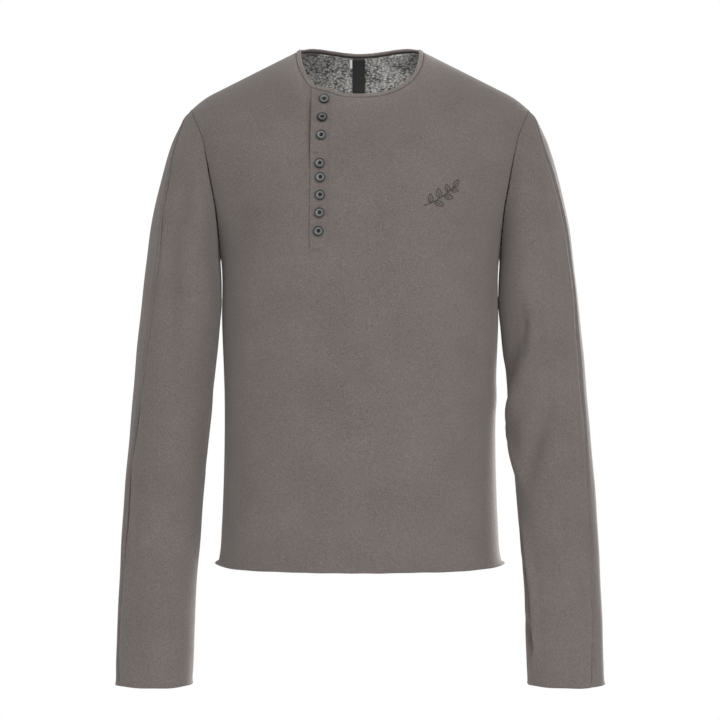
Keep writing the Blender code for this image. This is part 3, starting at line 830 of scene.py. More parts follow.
class BodyCloth:
    """The front and back panels, with their seams drawn in and their hem rolled."""

    half_columns = 64
    shoulder_rows, yoke_rows, armhole_rows, side_rows = 34, 18, 56, 92
    seam_groove, groove_width = 0.0011, 0.0024
    hem_roll, roll_height = 0.0030, 0.0075
    corner_x, dip_left_x, dip_right_x, dip, dip_reach = -0.0605, -0.0840, -0.0400, 0.0054, 0.035

    def __init__(self, form: BodyForm) -> None:
        """Build the grids of both panels.

        Args:
            form: the body's form.
        """
        self.form = form
        beside_seam = (0.98, 0.986, 0.991, 0.9955, 1.0)
        self.shares = np.concatenate((np.linspace(0, 0.972, self.half_columns), beside_seam))
        self.plain = {face: self._grid(face) for face in Face}
        self._dip_neck(self.plain[Face.FRONT])

    def _dip_neck(self, grid: np.ndarray) -> None:
        """Draw the front's neckline down towards the placket's upper right-hand corner."""
        x = grid[0, :, 0]
        right = (x - self.dip_left_x) / (self.corner_x - self.dip_left_x)
        left = (self.dip_right_x - x) / (self.dip_right_x - self.corner_x)
        amount = self.dip * np.clip(np.minimum(right, left), 0, 1) ** 1.3
        fade = np.clip(1 - run_lengths(grid, 0) / self.dip_reach, 0, 1) ** 2
        grid[:, :, 2] -= amount * fade
        grid[:, :, 1] = self.form.depth(grid[:, :, 0], grid[:, :, 2], Face.FRONT)

    def _edge(self) -> tuple[np.ndarray, int]:
        """The panel's edge seen from the front, and the row where the yoke's fan ends."""
        form = self.form
        x = np.linspace(form.neck_x, form.tip[0], self.shoulder_rows + 1)
        shoulder = np.stack((x, form.ridge(x, Face.FRONT)), axis=-1)
        turn = np.linspace(0, np.pi, self.armhole_rows + 1)[1:]
        z = form.armhole_z(turn)
        armhole = np.stack((form.armhole_x(z), z), axis=-1)
        hem = form.heights[0]
        near_hem = hem + np.array((0.0105, 0.0080, 0.0060, 0.0042, 0.0028, 0.0014, 0.0))
        z = np.concatenate((np.linspace(form.arm_z[0], near_hem[0], self.side_rows)[1:-1], near_hem))
        side = np.stack((form.size(z, "side"), z), axis=-1)
        return np.concatenate((shoulder, armhole, side)), self.shoulder_rows + self.yoke_rows

    def _grid(self, face: Face) -> np.ndarray:
        """Rows of points over a panel, from its right edge to its left."""
        form = self.form
        edge, last = self._edge()
        c = np.sin(np.pi / 2 * self.shares)
        top = form.neckline(self.shares, face)
        v = (np.arange(last + 1) / last)[:, None]
        foot_z = edge[last, 1]
        middle = top[0, 1] + (foot_z - top[0, 1]) * v
        straight = (1 - c)[:, None] * top[0] + c[:, None] * top[-1]
        x = c * edge[: last + 1, :1] + (1 - v) * (top - straight)[:, 0]
        z = (1 - c) * middle + c * edge[: last + 1, 1:] + (1 - v) * (top - straight)[:, 1]
        x = np.concatenate((x, c * edge[last + 1 :, :1]))
        z = np.concatenate((z, np.broadcast_to(edge[last + 1 :, 1:], (len(edge) - last - 1, len(c)))))
        half = np.stack((x, form.depth(x, z, face), z), axis=-1)
        mirrored = half[:, :0:-1] * (-1, 1, 1)
        return np.concatenate((mirrored, half), axis=1)

    def edge_distance(self, grid: np.ndarray) -> np.ndarray:
        """How far each point lies from the nearer side edge of its row."""
        run = run_lengths(grid, 1)
        return np.minimum(run, run[:, -1:] - run)

    def dressed(self, face: Face) -> tuple[np.ndarray, np.ndarray]:
        """The outer and inner grids of a panel, with its seams, soft waves and rolled hem."""
        plain = self.plain[face]
        normals = grid_normals(plain)
        normals *= np.sign(np.sum(normals[:, :, 1] * face.value))
        armhole = slice(self.shoulder_rows + 1, self.shoulder_rows + self.armhole_rows)
        for column in (0, -1):
            kept = normals[armhole, column].copy()
            normals[:, column, 1] = 0.0
            normals[armhole, column] = kept
        normals = unit(normals)
        x, _, z = np.moveaxis(plain, -1, 0)
        near_edge = self.edge_distance(plain)
        depth = self.seam_groove * np.clip((-0.125 - z) / 0.05, 0.25, 0.6) * (1 - 0.8 * bell(z + 0.31, 0.035))
        move = -depth * bell(near_edge, self.groove_width)
        free = np.clip(near_edge / 0.05, 0, 1) * np.clip((-0.09 - z) / 0.10, 0, 1)
        slow = ripple((x + 0.35 * z, 0.23, 0.1), (x - 0.2 * z, 0.15, 0.6), (z + 0.3 * x, 0.31, 0.3))
        move += 0.0012 * free * slow
        if face is Face.FRONT:
            pull = bell(np.hypot((x + 0.150) / 0.8, (z + 0.215) / 2.4), 0.020)
            move -= 0.0022 * pull
            move += 0.0016 * bell(np.hypot(x - 0.179, (z + 0.452) / 1.6), 0.012)
            move -= self.placket_gap(x, z)
        outer = plain + normals * move[..., None]
        hem = self.form.heights[0]
        up = z - hem
        wave = ripple((x, 0.131, 0.2 * face.value), (x, 0.087, 0.45), (x, 0.037, 0.1))
        corner = bell(np.abs(x) - 0.183, 0.010)
        near_hem = np.clip(1 - up / self.roll_height, 0, 1) ** 2
        roll = (0.0008 + 0.0003 * wave + self.hem_roll * corner) * near_hem
        inner = outer - WALL * normals
        for grid in (outer, inner):
            grid += normals * roll[..., None]
            grid[:, :, 2] += 0.45 * roll + 0.0003 * wave * np.clip(1 - up / 0.03, 0, 1)
        self._clear_seams(outer, inner, face)
        return outer, inner

    @staticmethod
    def placket_gap(x: np.ndarray, z: np.ndarray) -> np.ndarray:
        """How far the front sinks away from the placket's free edge, in its upper part."""
        return 0.0026 * bell(x + 0.0605, 0.0042) * bell(np.maximum(0.0, np.abs(z + 0.116) - 0.022), 0.018)

    def _clear_seams(self, outer: np.ndarray, inner: np.ndarray, face: Face) -> None:
        """Keep each panel on its own side of the shoulder, side and armhole seams."""
        across = np.array(ARMHOLE_WAY)
        for row in range(self.shoulder_rows, self.shoulder_rows + self.armhole_rows + 1):
            for column, side in ((0, -1), (-1, 1)):
                way = across * (side, 1, 1)
                past = float(np.dot(inner[row, column] - outer[row, column], way))
                inner[row, column] -= way * max(0.0, past)
        for grid in (outer, inner):
            grid[:, :, 1] = face.value * np.maximum(face.value * grid[:, :, 1], SEAM / 2)

    def build(self, jersey: bpy.types.Material, terry: bpy.types.Material) -> dict[Face, bpy.types.Object]:
        """Args:
            jersey: the finish of the outer face.
            terry: the finish of the inner face.

        Returns:
            The two pieces.
        """
        pieces = {}
        for face, name, length in ((Face.FRONT, "front", 0.640), (Face.BACK, "back", 0.700)):
            outer, inner = self.dressed(face)
            middle = outer.shape[1] // 2
            across = run_lengths(outer, 1)
            uv = np.stack((across - across[:, middle : middle + 1], -run_lengths(outer, 0)), axis=-1)
            mesh = Maker.wall(f"cloth_{name}", outer, inner, uv)
            pieces[face] = Maker.piece(f"cloth_{name}", mesh, "jersey", [jersey, terry])
            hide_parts(name)
            LOG.info("%s: %d faces", name, len(mesh.polygons))
        return pieces


class SleeveCloth:
    """The two panels of each sleeve, with their creases and the overarm seam's groove."""

    panel_columns = 56
    crease_strength = 1.6
    rings_between = 13
    cap_reach = 0.090
    seam_groove, groove_width = 0.0014, 0.0028
    cuff_roll, roll_height = 0.0022, 0.0065

    def __init__(self, form: BodyForm) -> None:
        """Read the rings into arrays.

        Args:
            form: the body's form, whose armhole the sleeves start from.
        """
        self.form = form
        self.outer = np.array([ring.outer for ring in SLEEVE])
        self.inner = np.array([ring.inner for ring in SLEEVE])
        self.half_depth = np.array([ring.half_depth for ring in SLEEVE])
        self.lead = {
            Arm.RIGHT: np.radians([ring.right_seam for ring in SLEEVE]),
            Arm.LEFT: np.radians([ring.left_seam for ring in SLEEVE]),
        }
        numbers = np.arange(len(SLEEVE), dtype=float)
        stops = np.linspace(0, len(SLEEVE) - 1, (len(SLEEVE) - 1) * self.rings_between + 1)
        self.stops = np.concatenate((stops, (len(SLEEVE) - 1) - np.array((0.06, 0.035, 0.018))))
        self.stops.sort()
        self.numbers = numbers

    def _at(self, values: np.ndarray) -> np.ndarray:
        """A table's column at every ring."""
        if values.ndim == 1:
            return curve_through(self.numbers, values, self.stops)
        return np.stack([curve_through(self.numbers, column, self.stops) for column in values.T], axis=-1)

    def _armhole(self, turn: np.ndarray) -> np.ndarray:
        """Points of the left armhole at angles from the shoulder round by the front."""
        z = self.form.armhole_z(turn)
        x = self.form.armhole_x(z)
        forward = np.sin(turn) >= 0
        y = np.where(forward, self.form.depth(x, z, Face.FRONT), self.form.depth(x, z, Face.BACK))
        return np.stack((x, y, z), axis=-1)

    @staticmethod
    def _oval(outer: np.ndarray, inner: np.ndarray, deep: np.ndarray, turn: np.ndarray) -> np.ndarray:
        """Points of plain rings at the given angles."""
        points = (outer + inner)[:, None] / 2 + (outer - inner)[:, None] / 2 * np.cos(turn)[..., None]
        points[..., 1] -= deep[:, None] * np.sin(turn)
        return points

    def plain(self, arm: Arm) -> tuple[np.ndarray, np.ndarray]:
        """The sleeve before creases.

        Args:
            arm: which arm.

        Returns:
            Rings of points on the left side, closed in each row, and each point's angle.
        """
        lead = self._at(self.lead[arm])[:, None]
        steps = self._shares()
        under = lead + (math.pi - lead) * steps[:-1]
        over = math.pi + (math.pi + lead) * steps[:-1]
        turn = np.concatenate((under, over), axis=1)
        outer, inner, deep = self._at(self.outer), self._at(self.inner), self._at(self.half_depth)
        points = self._oval(outer, inner, deep, turn)
        away = np.hypot(outer[:, 0] - outer[0, 0], outer[:, 2] - outer[0, 2])
        hold = np.maximum(0.0, 1 - away / self.cap_reach) ** 2
        start = self._oval(outer[:1], inner[:1], deep[:1], turn.reshape(1, -1)).reshape(*turn.shape, 3)
        return points + hold[:, None, None] * (self._armhole(turn) - start), turn

    def _shares(self) -> np.ndarray:
        """Even steps over a panel, with closer ones beside its two seams."""
        close = np.array((0.0, 0.006, 0.012, 0.019, 0.027, 0.036))
        return np.concatenate((close, np.linspace(0.05, 0.95, self.panel_columns), 1 - close[::-1]))

    @staticmethod
    def _crease_depth(
        crease: Crease, angle: np.ndarray, height: np.ndarray, radius: np.ndarray
    ) -> np.ndarray:
        """How far one crease pushes each point in.

        Args:
            crease: its path, depth and width.
            angle: each point's angle round the sleeve.
            height: each point's height.
            radius: each point's distance from the sleeve's middle.

        Returns:
            A depth for each point.
        """
        path_angle, path_z = np.radians(crease.angles), np.array(crease.heights)
        best = np.full(angle.shape, 1e9)
        signed = np.zeros(angle.shape)
        share = np.zeros(angle.shape)
        pieces = len(path_z) - 1
        for i in range(pieces):
            rise = np.full(angle.shape, path_z[i + 1] - path_z[i])
            span = np.stack(((path_angle[i + 1] - path_angle[i]) * radius, rise))
            reach = np.stack(((angle - path_angle[i]) * radius, height - path_z[i]))
            t = np.clip((span * reach).sum(0) / (span * span).sum(0), 0, 1)
            gap = reach - span * t
            distance = np.hypot(*gap)
            nearer = distance < best
            best = np.where(nearer, distance, best)
            side = np.sign(span[0] * reach[1] - span[1] * reach[0])
            signed = np.where(nearer, side, signed)
            share = np.where(nearer, (i + t) / pieces, share)
        width = crease.width * (1 + crease.lean * signed)
        taper = np.sin(np.pi * np.clip(share * 0.8 + 0.1, 0, 1)) ** 0.8
        return SleeveCloth.crease_strength * crease.depth * taper * bell(best, width)

    def dressed(self, arm: Arm) -> tuple[np.ndarray, np.ndarray]:
        """The whole sleeve's outer and inner rings, with creases, seam grooves and rolled cuff.

        Args:
            arm: which arm.

        Returns:
            The outer and inner rings, closed in each row, on the left side.
        """
        rings, turn = self.plain(arm)
        normals = grid_normals(rings, wrap=True)
        centre = rings.mean(axis=1, keepdims=True)
        normals *= np.sign(np.sum(normals[-1] * (rings[-1] - centre[-1])))
        seam = rings[0].copy()
        height = rings[:, :, 2]
        radius = np.full(turn.shape, 0.048)
        push = np.zeros(turn.shape)
        for crease in CREASES[arm]:
            push += self._crease_depth(crease, turn, height, radius)
        for crease in self._hidden_creases(arm):
            push += self._crease_depth(crease, turn, height, radius)
        run = run_lengths(rings, 1)
        whole = run[:, -1:] + np.linalg.norm(rings[:, -1:] - rings[:, :1], axis=-1)
        half = turn.shape[1] // 2
        to_over = np.minimum(run, whole - run)
        to_under = np.abs(run - run[:, half : half + 1])
        fade = np.clip((-0.075 - height) / 0.02, 0.25, 1)
        waver = 1 + 0.45 * ripple((height, 0.047, 0.2), (height, 0.019, 0.7), (height, 0.110, 0.4))
        push += self.seam_groove * waver * fade * bell(to_over, self.groove_width)
        lower = np.clip((-0.33 - height) / 0.04, 0, 1)
        push += 0.5 * self.seam_groove * bell(to_under, self.groove_width) * lower
        push -= 0.0006 * bell(to_over - 0.0065, 0.0035)
        armhole_gap = np.linalg.norm(rings - rings[:1], axis=-1)
        push += 0.0006 * bell(armhole_gap, 0.0026) * np.clip((-0.125 - height) / 0.05, 0.25, 1)
        along = self.stops[:, None]
        sway = ripple((height, 0.083, 0.1 * arm.value), (turn, 2.1, 0.3), (height + 0.05 * turn, 0.19, 0.6))
        push -= 0.0006 * sway * np.clip(along / 3, 0, 1)
        outer = rings - normals * push[..., None]
        outer[0] += SEAM * np.array(ARMHOLE_WAY)
        normals = self._settled(normals, outer)
        inner = outer - WALL * normals
        for ring in range(4):
            for j in range(outer.shape[1]):
                short = SEAM - float(np.dot(inner[ring, j] - seam[j], ARMHOLE_WAY))
                inner[ring, j] += np.array(ARMHOLE_WAY) * max(0.0, short)
        up = height - height[-1:]
        wave = ripple((turn, 2.09, 0.2 * arm.value), (turn, 0.9, 0.4))
        roll = self.cuff_roll * (0.45 + 0.25 * wave) * np.clip(1 - up / self.roll_height, 0, 1) ** 2
        for grid in (outer, inner):
            grid += normals * roll[..., None]
            grid[:, :, 2] += 0.45 * roll + 0.0004 * wave * np.clip(1 - up / 0.02, 0, 1)
        return outer, inner

    @staticmethod
    def _settled(normals: np.ndarray, outer: np.ndarray) -> np.ndarray:
        """Directions square to the creased rings, on the same side as the plain ones."""
        fresh = grid_normals(outer, wrap=True)
        fresh *= np.sign(np.sum(fresh * normals, axis=-1, keepdims=True))
        blend = np.minimum(np.arange(len(outer)) / 6, 1.0)[:, None, None]
        return unit(fresh * blend + normals * (1 - blend))

    @staticmethod
    def _hidden_creases(arm: Arm) -> tuple[Crease, ...]:
        """The creases of the sleeve's back, like those of its front but fewer."""
        shift = 0.0 if arm is Arm.LEFT else 0.028
        return (
            Crease((215, 236, 262), (-0.330 - shift, -0.372 - shift, -0.395 - shift), 0.0038, 0.012),
            Crease(
                (205, 232, 268, 290),
                (-0.415 - shift, -0.430 - shift, -0.455 - shift, -0.47 - shift),
                0.0042,
                0.013,
            ),
            Crease((200, 222, 246), (-0.510 - shift, -0.500 - shift, -0.515 - shift), 0.0030, 0.010),
            Crease((262, 250, 244, 250), (-0.150, -0.200, -0.260, -0.320), 0.0030, 0.013),
            Crease((285, 280, 268), (-0.600 - shift, -0.660 - shift, -0.720 - shift), 0.0024, 0.011),
            Crease((228, 236, 240), (-0.640 - shift, -0.700 - shift, -0.760 - shift), 0.0026, 0.009),
        )

    def build(self, jersey: bpy.types.Material, terry: bpy.types.Material) -> None:
        """Args:
            jersey: the finish of the outer face.
            terry: the finish of the inner face.
        """
        for arm, word in ((Arm.RIGHT, "right"), (Arm.LEFT, "left")):
            outer, inner = self.dressed(arm)
            columns = outer.shape[1]
            along = unit(np.roll(outer, -1, axis=1) - np.roll(outer, 1, axis=1))
            for part, first in (("front", 0), ("back", columns // 2)):
                picked = [(first + j) % columns for j in range(columns // 2 + 1)]
                grids = []
                for grid in (outer, inner):
                    panel = grid[:, picked].copy()
                    panel[:, 0] += SEAM / 2 * along[:, picked[0]]
                    panel[:, -1] -= SEAM / 2 * along[:, picked[-1]]
                    panel[:, :, 0] *= arm.value
                    grids.append(panel)
                middle = len(picked) // 2
                across = run_lengths(grids[0], 1)
                uv = np.stack((across - across[:, middle : middle + 1], -run_lengths(grids[0], 0)), axis=-1)
                name = f"cloth_sleeve_{word}_{part}"
                thing = Maker.piece(name, Maker.wall(name, *grids, uv), "jersey", [jersey, terry])
                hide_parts(f"sleeve_{word}_{part}")


# ---------------------------------------------------------------- trims


def surface_tree(*things: bpy.types.Object) -> BVHTree:
    """A tree of the faces of some finished pieces, to find places on them."""
    points, faces = [], []
    for thing in things:
        start = len(points)
        points.extend(tuple(vertex.co) for vertex in thing.data.vertices)
        faces.extend(tuple(start + i for i in polygon.vertices) for polygon in thing.data.polygons)
    return BVHTree.FromPolygons(points, faces)


def on_surface(tree: BVHTree, x: float, z: float, start_y: float = -0.3) -> tuple[np.ndarray, np.ndarray]:
    """Find a place seen from the front.

    Args:
        tree: the surface's faces.
        x: the place across.
        z: its height.
        start_y: where the look starts; it goes back from there.

    Returns:
        The point and the direction square to the surface there, towards the viewer.
    """
    place, normal, _, _ = tree.ray_cast(Vector((x, start_y, z)), Vector((0.0, 1.0, 0.0)))
    if normal.y > 0:
        normal = -normal
    return np.array(place), np.array(normal)


def smooth_strip(tree: BVHTree, places: list, start_y: float) -> tuple[np.ndarray, np.ndarray]:
    """Seat a grid of places on a surface.

    Args:
        tree: the surface's faces.
        places: rows of (x, z).
        start_y: where the look starts.

    Returns:
        The grid of points and the directions square to it, towards the viewer.
    """
    seat = np.array([[on_surface(tree, x, z, start_y)[0] for x, z in row] for row in places])
    normals = grid_normals(seat)
    normals *= -np.sign(normals[:, :, 1:2])
    return seat, normals


@dataclass
class NeckBinding:
    """The narrow folded binding round the neck, from the placket's free edge right round to it."""

    cloth: BodyCloth
    width: float = 0.0069
    proud: float = 0.0012
    lift: float = 0.0024
    start_x: float = -0.0602
    settle: float = 0.010
    placket_right_x: float = -0.0360

    def _loop(self) -> tuple[np.ndarray, np.ndarray, np.ndarray]:
        """The neck seam's points, with the directions into the neck and out of the cloth."""
        front, back = self.cloth.plain[Face.FRONT], self.cloth.plain[Face.BACK]
        loop = np.concatenate((front[0], back[0][-2:0:-1]))
        below = np.concatenate((front[1], back[1][-2:0:-1]))
        along = unit(np.roll(loop, -1, axis=0) - np.roll(loop, 1, axis=0))
        down = below - loop
        down -= np.sum(down * along, axis=-1, keepdims=True) * along
        inward = -unit(down)
        for _ in range(12):
            inward = unit(inward + np.roll(inward, 1, axis=0) + np.roll(inward, -1, axis=0))
        outward = unit(np.cross(along, inward))
        outward *= np.sign(np.sum(outward * (loop - (0.0, 0.0, -0.10)), axis=-1))[:, None]
        return loop, inward, outward

    def _section(self) -> list[tuple[float, float]]:
        """The folded strip's outline: how far into the neck, and how far out of the cloth."""
        w, p = self.width, self.proud
        bottom = -WALL
        upper = [(0.0009, -0.0012), (0.0010, 0.4 * p), (0.0016, p), (0.0027, 1.05 * p), (0.0036, 0.9 * p)]
        upper += [(0.0042, 1.05 * p), (0.0053, p), (w - 0.0006, 0.55 * p), (w, -0.0003)]
        lower = [(w, bottom * 0.6), (w - 0.0008, bottom * 0.95), (w - 0.0025, bottom), (SEAM, bottom)]
        return upper + lower

    def build(self, jersey: bpy.types.Material) -> bpy.types.Object:
        """Args:
            jersey: its finish.

        Returns:
            The piece.
        """
        loop, inward, outward = self._loop()
        front_count = self.cloth.plain[Face.FRONT].shape[1]
        first = int(np.argmax(loop[:front_count, 0] > self.start_x))
        share = (self.start_x - loop[first - 1, 0]) / (loop[first, 0] - loop[first - 1, 0])
        order = [*range(first, len(loop)), *range(first)]
        frames = []
        for values in (loop, inward, outward):
            start = values[first - 1] + (values[first] - values[first - 1]) * share
            frames.append(np.concatenate((start[None], values[order], start[None])))
        points, ways_in, ways_out = frames
        tuck = 0.0026 * unit(points[1] - points[0])
        points = np.concatenate((points, (points[-1] + tuck)[None]))
        ways_in = np.concatenate((ways_in, ways_in[-1:]))
        ways_out = np.concatenate((ways_out, ways_out[-1:]))
        x = points[:, 0]
        beyond = np.clip((self.placket_right_x + self.settle - x) / self.settle, 0, 1)
        raised = self.lift * beyond * beyond * (3 - 2 * beyond)
        raised[np.arange(len(x)) > front_count - first] = 0.0
        raised[-8:] -= 0.0004 * np.linspace(0, 1, 8)
        run = run_lengths(points[:, None], 0)[:, 0]
        wave = 0.00025 * ripple((run, 0.021, 0.0), (run, 0.0083, 0.4), (run, 0.047, 0.8))
        section = self._section()
        rings = np.stack(
            [
                points + (w + wave[:, None] * (w / self.width)) * ways_in + (h + raised)[:, None] * ways_out
                for w, h in section
            ],
            axis=1,
        )
        mesh = self._closed_tube(rings, run)
        thing = Maker.piece("cloth_neckband", mesh, "jersey", [jersey])
        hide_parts("neckband")
        LOG.info("neck binding: %.3f m long", run[-1])
        return thing

    @staticmethod
    def _closed_tube(rings: np.ndarray, run: np.ndarray) -> bpy.types.Mesh:
        """A closed mesh of equal sections, with flat places along and across it."""
        count, size = rings.shape[:2]
        faces = []
        for i in range(count - 1):
            for j in range(size):
                k = (j + 1) % size
                faces.append((i * size + j, i * size + k, (i + 1) * size + k, (i + 1) * size + j))
        faces.append(tuple(range(size))[::-1])
        faces.append(tuple(range((count - 1) * size, count * size)))
        girth = run_lengths(rings, 1)
        flat = [(girth[i, j], run[i]) for i in range(count) for j in range(size)]
        return Maker.joined("cloth_neckband", [(rings.reshape(-1, 3), faces, flat)])


@dataclass
class Placket:
    """The narrow overlap that the buttons sit on: free on its right-hand edge, stitched on its left."""

    top_x: float = -0.0483
    foot_x: float = -0.0512
    half_width: float = 0.0117
    foot_z: float = -0.2680
    lift: float = 0.0004
    thick: float = 0.0013
    rows: int = 150
    open_edge: float = 0.0036

    def middle_x(self, z: float) -> float:
        """The middle line, which leans a little outwards towards the foot."""
        return self.top_x + (self.foot_x - self.top_x) * z / self.foot_z

    def build(self, tree: BVHTree, neck: np.ndarray, jersey: bpy.types.Material) -> bpy.types.Object:
        """Args:
            tree: the front's surface.
            neck: the points of the front's neck seam.
            jersey: the finish.

        Returns:
            The piece.
        """
        order = np.argsort(neck[:, 0])
        edge = np.array((0.91, 0.955, 0.985, 1))
        shares = np.concatenate((-edge[::-1], np.linspace(-0.84, 0.84, 21), edge))
        places = []
        top_x = self.middle_x(neck[:, 2].min())
        tops = [
            float(np.interp(top_x + self.half_width * s, neck[order, 0], neck[order, 2])) for s in shares
        ]
        steps = np.concatenate((np.linspace(0, 0.985, self.rows), (0.990, 0.994, 0.9975, 1.0)))
        for step in steps:
            row = []
            for s, top in zip(shares, tops):
                z = top - SEAM + (self.foot_z - top + SEAM) * step
                row.append((self.middle_x(z) + self.half_width * s, z))
            places.append(row)
        seat, normals = smooth_strip(tree, places, -0.3)
        middle = len(shares) // 2
        normals = np.repeat(normals[:, middle : middle + 1], len(shares), axis=1)
        z = seat[:, :, 2]
        across = shares[None, :]
        from_free = (across + 1) * self.half_width
        from_sewn = (1 - across) * self.half_width
        from_foot = z - self.foot_z
        opening = bell(np.maximum(0.0, np.abs(z + 0.112) - 0.022), 0.020)
        rise = self.open_edge * (0.18 + 0.82 * opening) * np.clip(1 - from_free / 0.010, 0, 1) ** 1.6
        rise *= np.clip(from_foot / 0.020, 0, 1)
        rise += BodyCloth.placket_gap(seat[:, :, 0], z)
        share = np.clip(from_free / 0.0010, 0, 1)
        rounded = np.sqrt(np.clip(1 - (1 - share) ** 2, 0.02, 1)) * np.ones_like(z)
        for distance, reach in ((from_foot, 0.0050), (from_sewn, 0.0060)):
            share = np.clip(distance / reach, 0, 1)
            rounded *= 0.10 + 0.90 * share * share * (3 - 2 * share)
        puff = 1 + 0.10 * ripple((z, 0.018, 0.1), (z + 0.4 * seat[:, :, 0], 0.0071, 0.5))
        height = self.thick * rounded * puff
        inner = seat + normals * (self.lift + rise)[..., None]
        outer = inner + normals * height[..., None]
        uv = np.stack((run_lengths(outer, 1), -run_lengths(outer, 0)), axis=-1)
        mesh = Maker.wall("cloth_placket", outer, inner, uv)
        thing = Maker.piece("cloth_placket", mesh, "jersey", [jersey, jersey])
        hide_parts("placket")
        return thing


@dataclass
class Buttons:
    """Eight small buttons with a dark dished middle, standing on the placket; no hole is cut."""

    placket: Placket
    heights: tuple[float, ...] = (-0.0760, -0.1008, -0.1234, -0.1594, -0.1768, -0.1984, -0.2207, -0.2434)
    asides: tuple[float, ...] = (0.0041, 0.0023, 0.0016, 0.0003, 0.0012, 0.0012, 0.0008, -0.0003)
    radius: float = 0.00635
    thick: float = 0.0030
    dish: float = 0.0025
    seat: float = 0.0006
    tilts: tuple[float, ...] = (3.0, -8.0, 7.0, -3.0, 1.0, 2.0, -2.0, 3.0)
    thread_reach: float = 0.00125

    def _model(self, name: str, materials: list[bpy.types.Material]) -> bpy.types.Object:
        """One button about the origin, facing +Z.

        Args:
            name: its name.
            materials: the dark rim, the face painted paler as a highlight and the dark middle.

        Returns:
            The object.
        """
        bpy.ops.object.select_all(action="DESELECT")
        bpy.ops.mesh.primitive_cylinder_add(
            vertices=48, radius=self.radius, depth=self.thick, location=(0, 0, self.thick / 2)
        )
        bpy.ops.object.transform_apply(location=True, rotation=False, scale=False)
        thing = bpy.context.object
        thing.name = name
        thing.data.name = name
        for material in materials:
            thing.data.materials.append(material)
        bpy.ops.object.mode_set(mode="EDIT")
        for thickness, depth in ((0.00055, 0.00012), (0.00080, 0.0), (0.00045, -0.00045)):
            self._keep_top(thing)
            bpy.ops.mesh.inset(thickness=thickness, depth=depth)
        slope = self.radius - self.dish - 0.00180
        self._keep_top(thing)
        bpy.ops.mesh.inset(thickness=slope, depth=0.00015)
        self._keep_top(thing)
        bpy.ops.mesh.inset(thickness=0.00025, depth=-0.00050)
        self._keep_top(thing)
        bpy.ops.mesh.inset(thickness=0.00060, depth=-0.00035)
        bpy.ops.mesh.select_all(action="DESELECT")
        bpy.ops.object.mode_set(mode="OBJECT")
        for polygon in thing.data.polygons:
            centre = Vector(polygon.center)
            out = math.hypot(centre.x, centre.y)
            on_top = centre.z > 0.6 * self.thick
            polygon.material_index = 0
            # the face ring takes the paler horn, which is partly a painted highlight of its polished ring
            if on_top and out < self.radius - 0.00175:
                polygon.material_index = 1
            if on_top and out < self.dish:
                polygon.material_index = 2
        modifier = thing.modifiers.new("edges", "BEVEL")
        modifier.width = 0.00022
        modifier.segments = 2
        modifier.limit_method = "ANGLE"
        modifier.angle_limit = math.radians(24)
        bpy.ops.object.modifier_apply(modifier=modifier.name)
        bpy.ops.object.shade_smooth_by_angle(angle=math.radians(50))
        return thing

    def _keep_top(self, thing: bpy.types.Object) -> None:
        """Select only the flat face in the middle of the top."""
        bpy.ops.object.mode_set(mode="OBJECT")
        highest = max(thing.data.polygons, key=lambda polygon: (len(polygon.vertices) > 4, polygon.center.z))
        for polygon in thing.data.polygons:
            polygon.select = polygon.index == highest.index
        bpy.ops.object.mode_set(mode="EDIT")
        bpy.ops.mesh.select_mode(type="FACE")

    def build(self, tree: BVHTree, materials: list[bpy.types.Material], thread: bpy.types.Material) -> None:
        """Build the buttons and the thread that holds them.

        Args:
            tree: the placket's surface.
            materials: the dark rim, the face painted paler as a highlight and the dark middle.
            thread: the sewing thread.
        """
        for number, (aside, z) in enumerate(zip(self.asides, self.heights), start=1):
            name = f"horn_button_{number}"
            thing = self._model(name, materials)
            x = self.placket.middle_x(z) + aside
            place, normal = on_surface(tree, x, z)
            turn = Vector(normal).to_track_quat("Z", "Y").to_matrix().to_4x4()
            spin = Matrix.Rotation(math.radians(37 * number), 4, "Z")
            tilt = Matrix.Rotation(math.radians(self.tilts[number - 1]), 4, "X")
            thing.data.transform(Matrix.Translation(place + normal * self.seat) @ turn @ tilt @ spin)
            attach(thing, "root")
            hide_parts(f"button_{number}")
            self._thread(number, place + normal * self.seat, turn @ tilt @ spin, thread)
        LOG.info("buttons: %d", len(self.heights))

    def _thread(self, number: int, place: np.ndarray, turn: Matrix, thread: bpy.types.Material) -> None:
        """Two dark bars of thread in the middle of a button."""
        parts = []
        low = self.thick - 0.0013
        for side in (-1, 1):
            for lane in (-0.22, 0.22):
                path = []
                for t in np.linspace(-1, 1, 7):
                    lift = 0.00045 * (1 - t * t)
                    y = side * 0.00055 + lane * 0.0011
                    spot = turn @ Vector((t * self.thread_reach, y, low + lift))
                    path.append(np.array(spot) + place)
                parts.append(Maker.tube(np.array(path), 0.00022, 6))
        name = f"button_thread_{number}"
        Maker.piece(name, Maker.joined(name, parts), "button", [thread])


